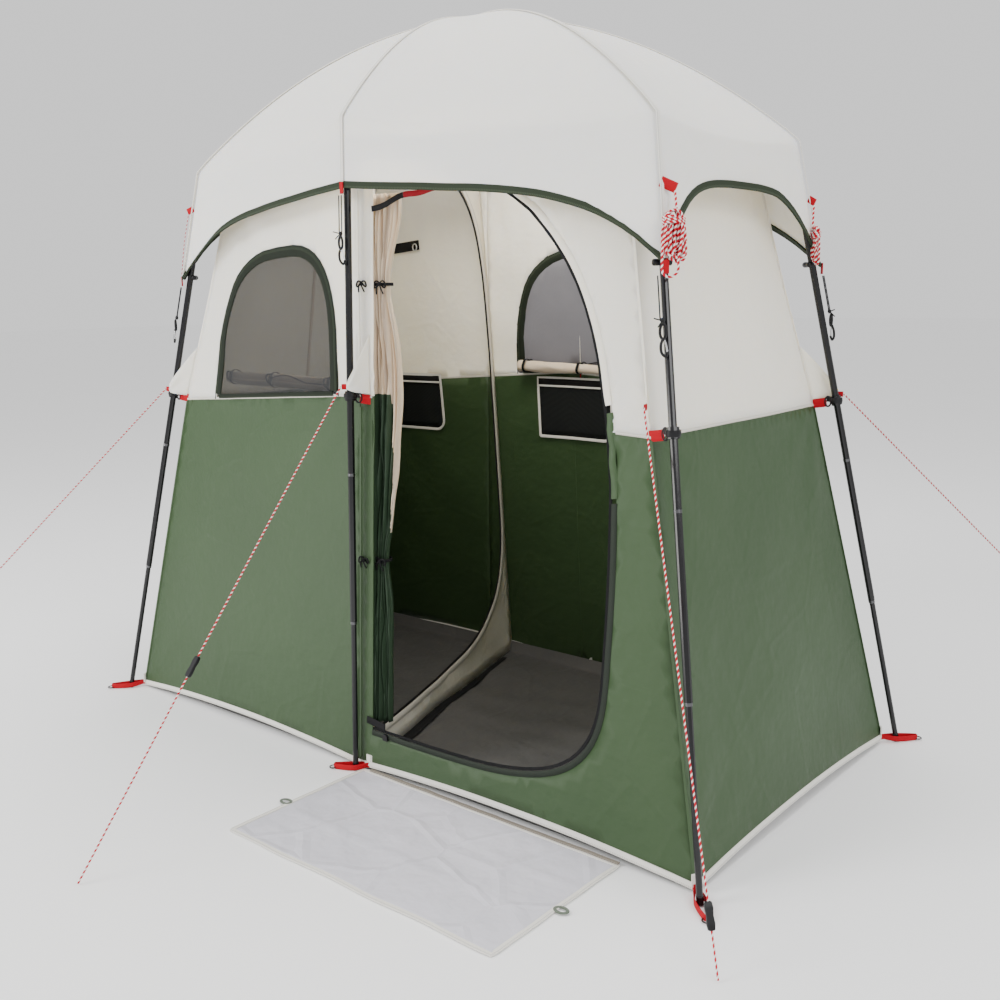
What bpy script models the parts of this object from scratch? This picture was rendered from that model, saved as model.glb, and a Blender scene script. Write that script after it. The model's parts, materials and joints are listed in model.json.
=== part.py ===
"""Two-room privacy shower tent: six-legged steel frame, canopy, walls, divider, mat and guy lines.

Metres, +Z up.  +X runs along the front, the front faces -Y, the origin is on the ground at the
middle of the floor.
"""
import math

import bpy
import bmesh
from mathutils import Vector

# ---- Driving dimensions -------------------------------------------------------------------------
FOOT_X = 1.050            # corner feet, from the middle
FOOT_Y = 0.538
MID_FOOT_Y = 0.522        # middle feet
LEAN_X = 0.1665           # how far the corner legs lean in, per metre of height
LEAN_Y = 0.1380
MID_LEAN_Y = 0.0345
KNEE_Z = 1.600            # where a corner leg meets its rafter
MID_KNEE_Z = 1.660
HUB_Z = 1.948             # rafter centre lines at the hub
TIP_Z = 1.297             # canopy tips on the legs
MID_TIP_Z = 1.506
END_EDGE_Z = 1.475        # canopy edge at the middle of each end

UPPER_R = 0.0090          # steel tubes
LOWER_R = 0.0072
BORE_R = 0.0079
COLLAR_R = 0.0135
COLLAR_HALF = 0.012
COLLAR_Z = 0.950
MID_COLLAR_Z = 0.991
SECTION_Z = 0.405         # top of the lowest leg section
PLUG = 0.070              # how far it reaches up inside the next one
SPIGOT_R = 0.0066
ELBOW_R = 0.0116
ELBOW_HALF = 0.028
SPIGOT_LEN = 0.048
HUB_R = 0.050

CLOTH = 0.003             # thickness of a fabric solid
NET = 0.0016
GAP = 0.0006
FRAME_GAP = 0.0155        # canopy middle surface, from the tubes' centre lines

# Wall heights with the corner's x and y and the middle's y at each
WALL_CORNER_X = ((0.02, 1.018), (0.94, 0.832), (1.25, 0.762), (1.60, 0.690))
WALL_CORNER_Y = ((0.02, 0.503), (0.94, 0.398), (1.25, 0.344), (1.60, 0.290))
WALL_MID_Y = ((0.02, 0.503), (0.94, 0.455), (1.25, 0.448), (1.60, 0.435))
WALL_LEVELS = (0.014, 0.32, 0.63, 0.94, 1.25, 1.58)
FLOOR_X = 0.990
FLOOR_Y = 0.478
FLOOR_T = 0.004

DOOR_LEFT = 0.045
DOOR_WIDTH = 0.711
DOOR_SILL = 0.119
DOOR_WIDE_Z = 0.519
DOOR_TOP = 1.540
WINDOW_BASE = 0.985
WINDOW_HEIGHT = 0.385
WINDOW_HALF = 0.272
FRONT_WINDOW_X = -0.384
BACK_WINDOW_X = 0.085
DIVIDER_FRONT = (0.020, -0.455)
DIVIDER_BACK_X = -0.330

MAT_X = (0.016, 0.835)
MAT_Y = (-0.945, -0.512)
MAT_T = 0.004

CORD_R = 0.002
GUYS = {                  # where each guy line is tied, where it ends, and its runner's share of the way
    "front_left": ((-0.905, -0.425, 0.965), (-1.474, -1.186, 0.003), 0.93),
    "front_middle": ((-0.012, -0.508, 1.015), (-0.037, -1.298, 0.003), 0.60),
    "front_right": ((0.828, -0.420, 1.000), (1.205, -0.743, 0.003), 0.90),
    "back_right": ((0.905, 0.425, 0.965), (1.190, 0.966, 0.452), None),
}
LEGS = {                  # direction of each leg's foot from the middle
    "front_left": (-1, -1),
    "front_middle": (0, -1),
    "front_right": (1, -1),
    "back_right": (1, 1),
    "back_middle": (0, 1),
    "back_left": (-1, 1),
}


# ---- Materials ----------------------------------------------------------------------------------
def material(name, colour, roughness, metallic=0.0):
    mat = bpy.data.materials.new(name)
    mat.use_nodes = True
    shader = mat.node_tree.nodes["Principled BSDF"]
    shader.inputs["Base Color"].default_value = (*colour, 1.0)
    shader.inputs["Roughness"].default_value = roughness
    shader.inputs["Metallic"].default_value = metallic
    return mat


def all_materials():
    return {
        "steel": material("black_steel", (0.012, 0.012, 0.014), 0.25, 0.4),
        "plastic": material("black_plastic", (0.015, 0.015, 0.016), 0.45),
        "cream": material("cream_fabric", (0.80, 0.78, 0.72), 0.75),
        "green": material("green_fabric", (0.10, 0.17, 0.10), 0.70),
        "net": material("grey_net", (0.16, 0.16, 0.17), 0.85),
        "tan": material("tan_fabric", (0.62, 0.52, 0.40), 0.80),
        "floor": material("groundsheet", (0.06, 0.06, 0.058), 0.70),
        "mat": material("mat_fabric", (0.60, 0.59, 0.63), 0.65),
        "cord": material("red_cord", (0.65, 0.04, 0.08), 0.75),
    }


# ---- Mesh tools ---------------------------------------------------------------------------------
def add_object(name, data, mat):
    data.materials.append(mat)
    obj = bpy.data.objects.new(name, data)
    bpy.context.scene.collection.objects.link(obj)
    return obj


def add_mesh(name, verts, faces, mat, smooth_angle=math.radians(35)):
    mesh = bpy.data.meshes.new(name)
    mesh.from_pydata([tuple(v) for v in verts], [], faces)
    bm = bmesh.new()
    bm.from_mesh(mesh)
    bmesh.ops.recalc_face_normals(bm, faces=bm.faces)
    bm.to_mesh(mesh)
    bm.free()
    mesh.shade_smooth()
    mesh.set_sharp_from_angle(angle=smooth_angle)
    return add_object(name, mesh, mat)


def as_guide(obj):
    obj.hide_render = True
    obj.display_type = "WIRE"
    return obj


def boolean(obj, other, operation):
    modifier = obj.modifiers.new(operation.lower(), "BOOLEAN")
    modifier.operation = operation
    modifier.object = as_guide(other)
    modifier.solver = "EXACT"


def ring(centre, tangent, side, radius, count):
    across = side - tangent * side.dot(tangent)
    across.normalize()
    other = tangent.cross(across)
    angles = [2 * math.pi * i / count for i in range(count)]
    return [centre + radius * (math.cos(a) * across + math.sin(a) * other) for a in angles]


def rod(name, path, radii, mat, bore=0.0, count=12):
    """A round bar through the path's points, or a tube where bore is its inner radius."""
    points = [Vector(p) for p in path]
    side = Vector((0.31, 0.92, 0.23))
    layers = [(points, radii)]
    if bore:
        layers.append((points, [bore] * len(points)))
    verts = []
    for layer_points, layer_radii in layers:
        for i, centre in enumerate(layer_points):
            before = layer_points[max(i - 1, 0)]
            after = layer_points[min(i + 1, len(layer_points) - 1)]
            verts += ring(centre, (after - before).normalized(), side, layer_radii[i], count)
    faces = []
    rows = len(points)
    for layer in range(len(layers)):
        base = layer * rows * count
        for i in range(rows - 1):
            for j in range(count):
                k = (j + 1) % count
                lower, upper = base + i * count, base + (i + 1) * count
                faces.append((lower + j, lower + k, upper + k, upper + j))
    ends = (0, (rows - 1) * count)
    if bore:
        inner = rows * count
        for end in ends:
            for j in range(count):
                k = (j + 1) % count
                faces.append((end + j, end + k, inner + end + k, inner + end + j))
    else:
        faces += [tuple(end + j for j in range(count)) for end in ends]
    return add_mesh(name, verts, faces, mat)


def sheet(name, rows, mat, thickness=CLOTH, centre=None):
    """A solid of even thickness around a grid of points; centre closes its first row to a point."""
    verts = [p for row in rows for p in row]
    width = len(rows[0])
    faces = []
    closed = centre is not None
    for i in range(len(rows) - 1):
        for j in range(width if closed else width - 1):
            k = (j + 1) % width
            faces.append((i * width + j, i * width + k, (i + 1) * width + k, (i + 1) * width + j))
    if closed:
        verts = verts + [centre]
        faces += [(len(verts) - 1, (j + 1) % width, j) for j in range(width)]
    obj = add_mesh(name, verts, faces, mat, math.radians(50))
    solid = obj.modifiers.new("thickness", "SOLIDIFY")
    solid.thickness = thickness
    solid.offset = 0.0
    solid.use_even_offset = True
    return obj


def prism(name, outline, direction, mat):
    """A straight prism: the outline's points, swept both ways along the direction."""
    reach = Vector(direction)
    count = len(outline)
    verts = [Vector(p) - reach for p in outline] + [Vector(p) + reach for p in outline]
    faces = [tuple(range(count)), tuple(range(count, 2 * count))]
    faces += [(j, (j + 1) % count, count + (j + 1) % count, count + j) for j in range(count)]
    return add_mesh(name, verts, faces, mat)


# ---- Shapes that several parts share -------------------------------------------------------------
def at_height(table, z):
    """Straight-line reading of a (height, value) table, carried on past its ends."""
    for low, high in zip(table, table[1:]):
        if z <= high[0] or high is table[-1]:
            share = (z - low[0]) / (high[0] - low[0])
            return low[1] + share * (high[1] - low[1])


def wall_y(x, z):
    """Distance of the front or back wall from the middle, at a place along it."""
    share = min(abs(x) / at_height(WALL_CORNER_X, z), 1.0)
    middle = at_height(WALL_MID_Y, z)
    return middle + share * (at_height(WALL_CORNER_Y, z) - middle)


def superquarter(width, height, power, steps, upward):
    """Quarter of a rounded outline from its widest point to its top or bottom."""
    points = []
    for i in range(steps + 1):
        angle = 0.5 * math.pi * i / steps
        across = width * math.cos(angle) ** (2 / power)
        along = height * math.sin(angle) ** (2 / power)
        points.append((across, along if upward else -along))
    return points


def d_outline(left, width, sill, wide_z, top, steps=9):
    """A zipped opening: straight on the left, round on the right."""
    upper = superquarter(width, top - wide_z, 2.5, steps, True)
    lower = superquarter(width, wide_z - sill, 4.0, steps, False)
    points = list(reversed(lower)) + upper[1:]
    return [(left + across, wide_z + along) for across, along in points]


def arch_outline(middle, half, base, height, steps=8):
    """A window: flat base, upright sides, round top."""
    right = superquarter(half, height, 2.8, steps, True)
    left = [(-across, along) for across, along in reversed(right[:-1])]
    return [(middle + across, base + along) for across, along in right + left]


def leg_point(which, z):
    sx, sy = LEGS[which]
    if sx == 0:
        return Vector((0, sy * (MID_FOOT_Y - MID_LEAN_Y * z), z))
    return Vector((sx * (FOOT_X - LEAN_X * z), sy * (FOOT_Y - LEAN_Y * z), z))


def knee_z(which):
    return MID_KNEE_Z if LEGS[which][0] == 0 else KNEE_Z


def rafter_point(which, t):
    """Bowed rafter: t is 0 at the hub's middle and 1 at the knee."""
    knee = leg_point(which, knee_z(which))
    rise = HUB_Z - knee.z
    return Vector((knee.x * t, knee.y * t, knee.z + rise * (1 - t * t)))


def rafter_back(which, distance):
    """The t of a point this far up the rafter from the knee."""
    knee = leg_point(which, knee_z(which))
    span = math.hypot(knee.x, knee.y)
    slope = 2 * (HUB_Z - knee.z) / span
    return 1 - distance / (span * math.hypot(1, slope))


def outward(which):
    sx, sy = LEGS[which]
    return Vector((sx, sy, 0)).normalized()


# ---- Frame --------------------------------------------------------------------------------------
def make_leg(which, mats):
    z_top = knee_z(which) - ELBOW_HALF
    z_collar = MID_COLLAR_Z if LEGS[which][0] == 0 else COLLAR_Z
    heights = [
        (SECTION_Z + GAP, UPPER_R),
        (z_collar - COLLAR_HALF - GAP, UPPER_R),
        (z_collar - COLLAR_HALF, COLLAR_R),
        (z_collar + COLLAR_HALF, COLLAR_R),
        (z_collar + COLLAR_HALF + GAP, UPPER_R),
        (z_top - GAP, UPPER_R),
    ]
    path = [leg_point(which, z) for z, _ in heights]
    rod(f"leg_upper_{which}", path, [r for _, r in heights], mats["steel"], bore=BORE_R)
    heights = [
        (0.0, LOWER_R * 1.10),
        (0.020, LOWER_R * 1.10),
        (0.021, LOWER_R),
        (SECTION_Z + PLUG, LOWER_R),
    ]
    path = [leg_point(which, z) for z, _ in heights]
    path[0].z = 0.0009
    rod(f"leg_lower_{which}", path, [r for _, r in heights], mats["steel"])


def make_elbow(which, mats):
    z_knee = knee_z(which)
    axis = (leg_point(which, z_knee) - leg_point(which, 0)).normalized()
    knee = leg_point(which, z_knee)
    path = [
        knee - axis * (ELBOW_HALF + SPIGOT_LEN),
        knee - axis * (ELBOW_HALF - GAP),
        knee - axis * (ELBOW_HALF - 2 * GAP),
    ]
    radii = [SPIGOT_R, SPIGOT_R, ELBOW_R]
    start = path[-1]
    finish = rafter_point(which, rafter_back(which, ELBOW_HALF - 2 * GAP))
    for i in range(1, 5):
        s = i / 5
        path.append(start * (1 - s) ** 2 + knee * 2 * s * (1 - s) + finish * s * s)
        radii.append(ELBOW_R)
    path += [finish, rafter_point(which, rafter_back(which, ELBOW_HALF - GAP))]
    radii += [ELBOW_R, SPIGOT_R]
    for i in range(1, 4):
        path.append(rafter_point(which, rafter_back(which, ELBOW_HALF + SPIGOT_LEN * i / 3)))
        radii.append(SPIGOT_R)
    rod(f"elbow_{which}", path, radii, mats["plastic"], count=10)


def make_rafter(which, mats):
    knee = leg_point(which, knee_z(which))
    first = (HUB_R + 0.006) / math.hypot(knee.x, knee.y)
    last = rafter_back(which, ELBOW_HALF + GAP)
    steps = 9
    ts = [first + (last - first) * i / steps for i in range(steps + 1)]
    path = [rafter_point(which, t) for t in ts]
    rod(f"rafter_{which}", path, [UPPER_R] * len(path), mats["steel"], bore=BORE_R, count=10)


def make_hub(mats):
    steps = 24
    profile = [(0.0, 0.0095), (0.035, 0.0095), (HUB_R, 0.003), (HUB_R, -0.012), (0.0, -0.012)]
    verts = [Vector((0, 0, HUB_Z + profile[0][1])), Vector((0, 0, HUB_Z + profile[-1][1]))]
    for radius, height in profile[1:-1]:
        verts += ring(Vector((0, 0, HUB_Z + height)), Vector((0, 0, 1)), Vector((1, 0, 0)), radius, steps)
    faces = []
    for j in range(steps):
        k = (j + 1) % steps
        faces.append((0, 2 + j, 2 + k))
        faces.append((1, 2 + 2 * steps + k, 2 + 2 * steps + j))
        for row in range(2):
            base = 2 + row * steps
            faces.append((base + j, base + steps + j, base + steps + k, base + k))
    hub = add_mesh("hub", verts, faces, mats["plastic"])
    for which in LEGS:
        knee = leg_point(which, knee_z(which))
        span = math.hypot(knee.x, knee.y)
        path = [rafter_point(which, (HUB_R - 0.020 + 0.024 * i) / span) for i in range(4)]
        spigot = rod(f"hub_spigot_{which}", path, [SPIGOT_R] * len(path), mats["plastic"], count=10)
        boolean(hub, spigot, "UNION")


# ---- Canopy -------------------------------------------------------------------------------------
def canopy_corner(which):
    """Knee of the canopy: the frame's knee, moved out to clear the elbow."""
    knee = leg_point(which, knee_z(which))
    sx, sy = LEGS[which]
    return Vector((knee.x + sx * FRAME_GAP, knee.y + sy * FRAME_GAP, knee.z + 0.008))


def edge_height(first, second, u):
    """Height of the canopy's lower edge, part way round one side of the hexagon."""
    ends = [LEGS[first][0], LEGS[second][0]]
    if 0 in ends:
        from_mid = u if ends[0] == 0 else 1 - u
        drop = 0.3 * from_mid + 0.7 * from_mid ** 6
        return TIP_Z + (MID_TIP_Z - TIP_Z) * (1 - drop)
    return TIP_Z + (END_EDGE_Z - TIP_Z) * (1 - abs(2 * u - 1) ** 4)


def canopy_columns(steps=6):
    """Round the hexagon once: eave point and hem point of each column."""
    names = list(LEGS)
    columns = []
    for first, second in zip(names, names[1:] + names[:1]):
        for i in range(steps):
            u = i / steps
            eave = canopy_corner(first).lerp(canopy_corner(second), u)
            z = edge_height(first, second, u)
            tips = []
            for which in (first, second):
                sx, sy = LEGS[which]
                tip = leg_point(which, z)
                tips.append(Vector((tip.x + sx * FRAME_GAP, tip.y + sy * FRAME_GAP, z)))
            hem = tips[0].lerp(tips[1], u)
            belly = 4 * u * (1 - u)
            eave.z -= 0.020 * belly
            columns.append((eave, hem))
    return columns


def make_canopy(mats):
    columns = canopy_columns()
    top = Vector((0, 0, HUB_Z + FRAME_GAP))
    rows = []
    for t in (0.09, 0.22, 0.38, 0.54, 0.69, 0.82, 0.92, 1.0):
        row = []
        for eave, _ in columns:
            rise = top.z - eave.z
            row.append(Vector((eave.x * t, eave.y * t, eave.z + rise * (1 - t * t))))
        rows.append(row)
    for share in (0.33, 0.67, 1.0):
        rows.append([eave.lerp(hem, share) for eave, hem in columns])
    sheet("canopy", rows, mats["cream"], centre=top)


# ---- Walls --------------------------------------------------------------------------------------
def long_wall(name, sy, x_start, x_end, mat):
    """A front or back panel; x_end is the side whose corner it reaches, x_start a fixed place."""
    rows = []
    for z in WALL_LEVELS:
        corner = x_end * (at_height(WALL_CORNER_X, z) - 0.006)
        bend = 0.0 if x_start * corner < -0.1 else x_start + (corner - x_start) / 3
        xs = [x_start, 0.5 * (x_start + bend)] + [bend + (corner - bend) * i / 5 for i in range(6)]
        rows.append([Vector((x, sy * wall_y(x, z), z)) for x in xs])
    return sheet(name, rows, mat)


def end_wall(name, sx, mat):
    rows = []
    for z in WALL_LEVELS:
        x = sx * at_height(WALL_CORNER_X, z)
        half = at_height(WALL_CORNER_Y, z) - 0.006
        rows.append([Vector((x, half * (i / 2 - 1), z)) for i in range(5)])
    return sheet(name, rows, mat)


def opening_cutter(name, outline, sy, mat):
    points = [(x, sy * 0.44, z) for x, z in outline]
    return prism(name, points, (0, 0.2, 0), mat)


def make_walls(mats):
    green = mats["green"]
    front_left = long_wall("wall_front_left", -1, -GAP, -1, green)
    front_right = long_wall("wall_front_right", -1, GAP, 1, green)
    long_wall("wall_back_left", 1, DIVIDER_BACK_X - GAP, -1, green)
    back_right = long_wall("wall_back_right", 1, DIVIDER_BACK_X + GAP, 1, green)
    end_wall("wall_end_left", -1, green)
    end_wall("wall_end_right", 1, green)
    door = d_outline(DOOR_LEFT, DOOR_WIDTH, DOOR_SILL, DOOR_WIDE_Z, DOOR_TOP)
    boolean(front_right, opening_cutter("doorway_cutter", door, -1, green), "DIFFERENCE")
    for middle, sy, wall, label in (
        (FRONT_WINDOW_X, -1, front_left, "front"),
        (BACK_WINDOW_X, 1, back_right, "back"),
    ):
        hole = arch_outline(middle, WINDOW_HALF, WINDOW_BASE, WINDOW_HEIGHT)
        boolean(wall, opening_cutter(f"window_cutter_{label}", hole, sy, green), "DIFFERENCE")
        make_window(label, middle, sy, mats)


def make_window(label, middle, sy, mats):
    """Netting that fills a window, and the rolled flap inside along its base."""
    inset = 0.0008
    levels = (WINDOW_BASE - 0.01, 1.11, 1.25, WINDOW_BASE + WINDOW_HEIGHT + 0.01)
    rows = []
    for z in levels:
        xs = [middle + WINDOW_HALF * 1.05 * (i / 4 - 1) for i in range(9)]
        rows.append([Vector((x, sy * wall_y(x, z), z)) for x in xs])
    net = sheet(f"window_net_{label}", rows, mats["net"], NET)
    outline = arch_outline(middle, WINDOW_HALF - inset, WINDOW_BASE + inset, WINDOW_HEIGHT - 2 * inset)
    boolean(net, opening_cutter(f"net_cutter_{label}", outline, sy, mats["net"]), "INTERSECT")
    roll_z = WINDOW_BASE + 0.026
    xs = [middle + (WINDOW_HALF - 0.012) * (i / 3 - 1) for i in range(7)]
    path = [Vector((x, sy * (wall_y(x, roll_z) - 0.029), roll_z)) for x in xs]
    radii = [0.018, 0.023, 0.024, 0.022, 0.024, 0.023, 0.018]
    rod(f"window_flap_{label}", path, radii, mats["tan"])


def make_pocket(name, x_low, x_high, z_low, z_high, mats):
    rows = []
    for z in (z_low, z_high):
        bend = 0.0 if x_low * x_high < 0 else 0.5 * (x_low + x_high)
        xs = (x_low, bend, x_high)
        rows.append([Vector((x, wall_y(x, z) - 0.0045, z)) for x in xs])
    sheet(name, rows, mats["net"], 0.002)


def make_divider(mats):
    """Inner curtain from the front middle seam to the back wall, with a zipped opening."""
    clear = 0.006
    rows = []
    for z in WALL_LEVELS:
        front = Vector((DIVIDER_FRONT[0], -wall_y(DIVIDER_FRONT[0], z) + clear, z))
        back = Vector((DIVIDER_BACK_X, wall_y(DIVIDER_BACK_X, z) - clear, z))
        rows.append([front.lerp(back, i / 4) for i in range(5)])
    divider = sheet("divider", rows, mats["cream"])
    start = Vector((DIVIDER_FRONT[0], DIVIDER_FRONT[1], 0))
    run = Vector((DIVIDER_BACK_X, -DIVIDER_FRONT[1], 0)) - start
    outline = [start + run * v + Vector((0, 0, z)) for v, z in d_outline(0.07, 0.87, 0.055, 0.45, 1.54)]
    across = run.cross(Vector((0, 0, 1))).normalized() * 0.1
    boolean(divider, prism("divider_cutter", outline, across, mats["cream"]), "DIFFERENCE")


def make_door_panel(mats):
    """The open door panel, gathered into a bundle along the doorway's straight edge."""
    stations = (
        (0.135, 0.020), (0.20, 0.028), (0.34, 0.029), (0.50, 0.023), (0.565, 0.017), (0.63, 0.023),
        (0.80, 0.030), (1.02, 0.031), (1.20, 0.024), (1.266, 0.017), (1.335, 0.023), (1.42, 0.028),
        (1.484, 0.024),
    )
    path = [Vector((0.083, -wall_y(0.083, z) + 0.036, z)) for z, _ in stations]
    rod("door_panel", path, [r for _, r in stations], mats["tan"])


def make_floor_and_mat(mats):
    def slab(name, xs, ys, thickness, mat):
        corners = [(xs[0], ys[0]), (xs[1], ys[0]), (xs[1], ys[1]), (xs[0], ys[1])]
        outline = [(x, y, thickness / 2) for x, y in corners]
        prism(name, outline, (0, 0, thickness / 2), mat)

    slab("floor", (-FLOOR_X, FLOOR_X), (-FLOOR_Y, FLOOR_Y), FLOOR_T, mats["floor"])
    slab("mat", MAT_X, MAT_Y, MAT_T, mats["mat"])


# ---- Small parts --------------------------------------------------------------------------------
def make_hook(which, mats):
    """Elastic and hook that hang from a canopy tip and catch round the leg."""
    tip = MID_TIP_Z if LEGS[which][0] == 0 else TIP_Z
    out = outward(which) * 0.0245
    steps = ((0.030, 0.0020), (0.120, 0.0020), (0.126, 0.0065), (0.150, 0.0080), (0.175, 0.0075), (0.200, 0.0040))
    path = [leg_point(which, tip - drop) + out for drop, _ in steps]
    rod(f"hook_{which}", path, [r for _, r in steps], mats["plastic"], count=8)


def make_guy(which, mats):
    tied, ground, share = GUYS[which]
    start, finish = Vector(tied), Vector(ground)
    curve = bpy.data.curves.new(f"guy_line_{which}", "CURVE")
    curve.dimensions = "3D"
    spline = curve.splines.new("POLY")
    steps = 12
    spline.points.add(steps)
    for i, point in enumerate(spline.points):
        point.co = (*start.lerp(finish, i / steps), 1.0)
    curve.bevel_depth = CORD_R
    curve.bevel_resolution = 2
    curve.use_fill_caps = True
    add_object(f"guy_line_{which}", curve, mats["cord"])
    if share is None:
        return
    along = (finish - start).normalized()
    middle = start.lerp(finish, share)
    path = [middle + along * d for d in (-0.025, -0.019, 0.019, 0.025)]
    rod(f"guy_runner_{which}", path, [0.0048, 0.0068, 0.0068, 0.0048], mats["plastic"], bore=0.0029, count=8)


def make_hank(name, which, z, width, height, mats):
    """Spare cord folded into a hank, as the solid it fills."""
    out = outward(which)
    side = out.cross(Vector((0, 0, 1)))
    middle = leg_point(which, z) + out * 0.050
    straight = 0.5 * (height - width)
    outline = []
    for end in (1, -1):
        for i in range(7):
            angle = math.pi * i / 6 + (0 if end > 0 else math.pi)
            across = 0.5 * width * math.cos(angle)
            along = 0.5 * width * math.sin(angle) + end * straight
            outline.append(middle + side * across + Vector((0, 0, along)))
    prism(name, outline, out * 0.011, mats["cord"])


def make_zip_slider(mats):
    y = -wall_y(0.0, DOOR_SILL) - 0.0055
    outline = [(0.090, y, 0.100), (0.106, y, 0.100), (0.106, y, 0.112), (0.102, y, 0.117), (0.094, y, 0.117),
               (0.090, y, 0.112)]
    prism("door_zip_slider", outline, (0, 0.003, 0), mats["plastic"])


def main():
    for obj in list(bpy.data.objects):
        bpy.data.objects.remove(obj)
    mats = all_materials()
    make_hub(mats)
    for which in LEGS:
        make_leg(which, mats)
        make_elbow(which, mats)
        make_rafter(which, mats)
        make_hook(which, mats)
    make_canopy(mats)
    make_walls(mats)
    make_pocket("pocket_left", -0.815, -0.530, 0.775, 0.965, mats)
    make_pocket("pocket_right", -0.125, 0.160, 0.780, 0.970, mats)
    make_divider(mats)
    make_door_panel(mats)
    make_floor_and_mat(mats)
    for which in GUYS:
        make_guy(which, mats)
    make_hank("hank_front_right", "front_right", 1.345, 0.060, 0.150, mats)
    make_hank("hank_back_right", "back_right", 1.345, 0.036, 0.090, mats)
    make_zip_slider(mats)


main()
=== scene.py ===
"""Looks of the two-room shower tent: fabric, bindings, zips, webbing and cords on the CAD frame."""
import json
import math

import bpy
from mathutils import Matrix, Vector, noise
from mathutils.geometry import delaunay_2d_cdt
from mathutils.kdtree import KDTree


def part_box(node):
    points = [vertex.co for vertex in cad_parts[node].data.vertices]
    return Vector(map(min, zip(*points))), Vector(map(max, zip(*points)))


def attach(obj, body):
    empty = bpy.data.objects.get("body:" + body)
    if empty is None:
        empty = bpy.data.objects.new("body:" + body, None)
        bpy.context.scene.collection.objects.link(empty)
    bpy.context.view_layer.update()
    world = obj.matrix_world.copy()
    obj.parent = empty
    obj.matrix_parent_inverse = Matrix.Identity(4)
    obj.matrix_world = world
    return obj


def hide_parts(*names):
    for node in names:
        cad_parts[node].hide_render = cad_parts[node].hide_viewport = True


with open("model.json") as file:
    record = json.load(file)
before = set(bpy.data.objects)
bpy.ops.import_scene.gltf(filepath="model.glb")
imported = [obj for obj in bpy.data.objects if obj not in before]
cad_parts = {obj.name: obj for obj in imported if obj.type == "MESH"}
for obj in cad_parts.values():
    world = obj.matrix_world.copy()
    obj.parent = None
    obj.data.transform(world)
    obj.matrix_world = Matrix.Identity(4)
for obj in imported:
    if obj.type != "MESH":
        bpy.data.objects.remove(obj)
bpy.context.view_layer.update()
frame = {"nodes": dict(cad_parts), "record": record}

RIGHT = Vector((1, 0, 0))
FRONT = Vector((0, -1, 0))
UP = Vector((0, 0, 1))

# ---- Dimensions, in metres, as the CAD walls and legs have them ---------------------------------
WALL_CORNER_X = ((0.02, 1.018), (0.94, 0.832), (1.25, 0.762), (1.60, 0.690))
WALL_CORNER_Y = ((0.02, 0.503), (0.94, 0.398), (1.25, 0.344), (1.60, 0.290))
WALL_MID_Y = ((0.02, 0.503), (0.94, 0.455), (1.25, 0.448), (1.60, 0.435))
WALL_TOP = 1.60
HEM_Z = 0.010
HEM_ARCH = 0.020
WAIST_MID = 0.990
WAIST_CORNER = 0.935
CLOTH = 0.0012

KNEE_Z = 1.600
MID_KNEE_Z = 1.660
HUB_Z = 1.948
TIP_Z = 1.297
MID_TIP_Z = 1.506
END_EDGE_Z = 1.475
CANOPY_GAP = 0.0155
COLLAR_Z = 0.950
MID_COLLAR_Z = 0.991

LEGS = {
    "front_left": (-1, -1),
    "front_middle": (0, -1),
    "front_right": (1, -1),
    "back_right": (1, 1),
    "back_middle": (0, 1),
    "back_left": (-1, 1),
}
GUYS = {                  # where each guy line is tied, where it ends, and its runner's share of the way
    "front_left": ((-0.905, -0.425, 0.965), (-1.474, -1.186, 0.003), 0.93),
    "front_middle": ((-0.012, -0.508, 1.015), (-0.037, -1.298, 0.003), 0.60),
    "front_right": ((0.828, -0.420, 1.000), (1.205, -0.743, 0.003), 0.90),
    "back_right": ((0.905, 0.425, 0.965), (1.190, 0.966, 0.452), None),
}
CORD_R = 0.002
SPARE_R = 0.0026

LEG_FOOT_R = 0.00792      # from the CAD foot's side to the leg's axis
HOOK_OUT = 0.0245         # from a leg's axis to the hook that hangs beside it
TIE_OUT = 0.038           # from the front wall back to the middle of the gathered door
NET_CLOTH = 0.0008

DOOR_LEFT = 0.045
DOOR_SIZE = (0.711, 0.519, 0.119, 1.560)       # width, height of the widest place, sill, top
DOOR_POWERS = (2.5, 4.3)
DOOR_CUT = 0.016                               # cloth cut away beyond the zip's line
FACING_TOP = 0.80                              # the doorway has a dark green facing below it
DIVIDER_LEFT = 0.07                            # the divider's outline has shares of its depth for widths
DIVIDER_SIZE = (0.893, 0.58, 0.088, 1.59)
DIVIDER_POWERS = (6.5, 3.2)
DIVIDER_FRONT_X = 0.020
DIVIDER_BACK_X = -0.300

SIDES = {"front": -1, "back": 1}
WINDOWS = {"front": -0.384, "back": 0.085}     # each window's middle
WINDOW_HALF = 0.283
WINDOW_TOP = 1.362
WAIST_HALF = 0.83
BACK_SPLIT = -0.33 / WAIST_HALF

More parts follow.
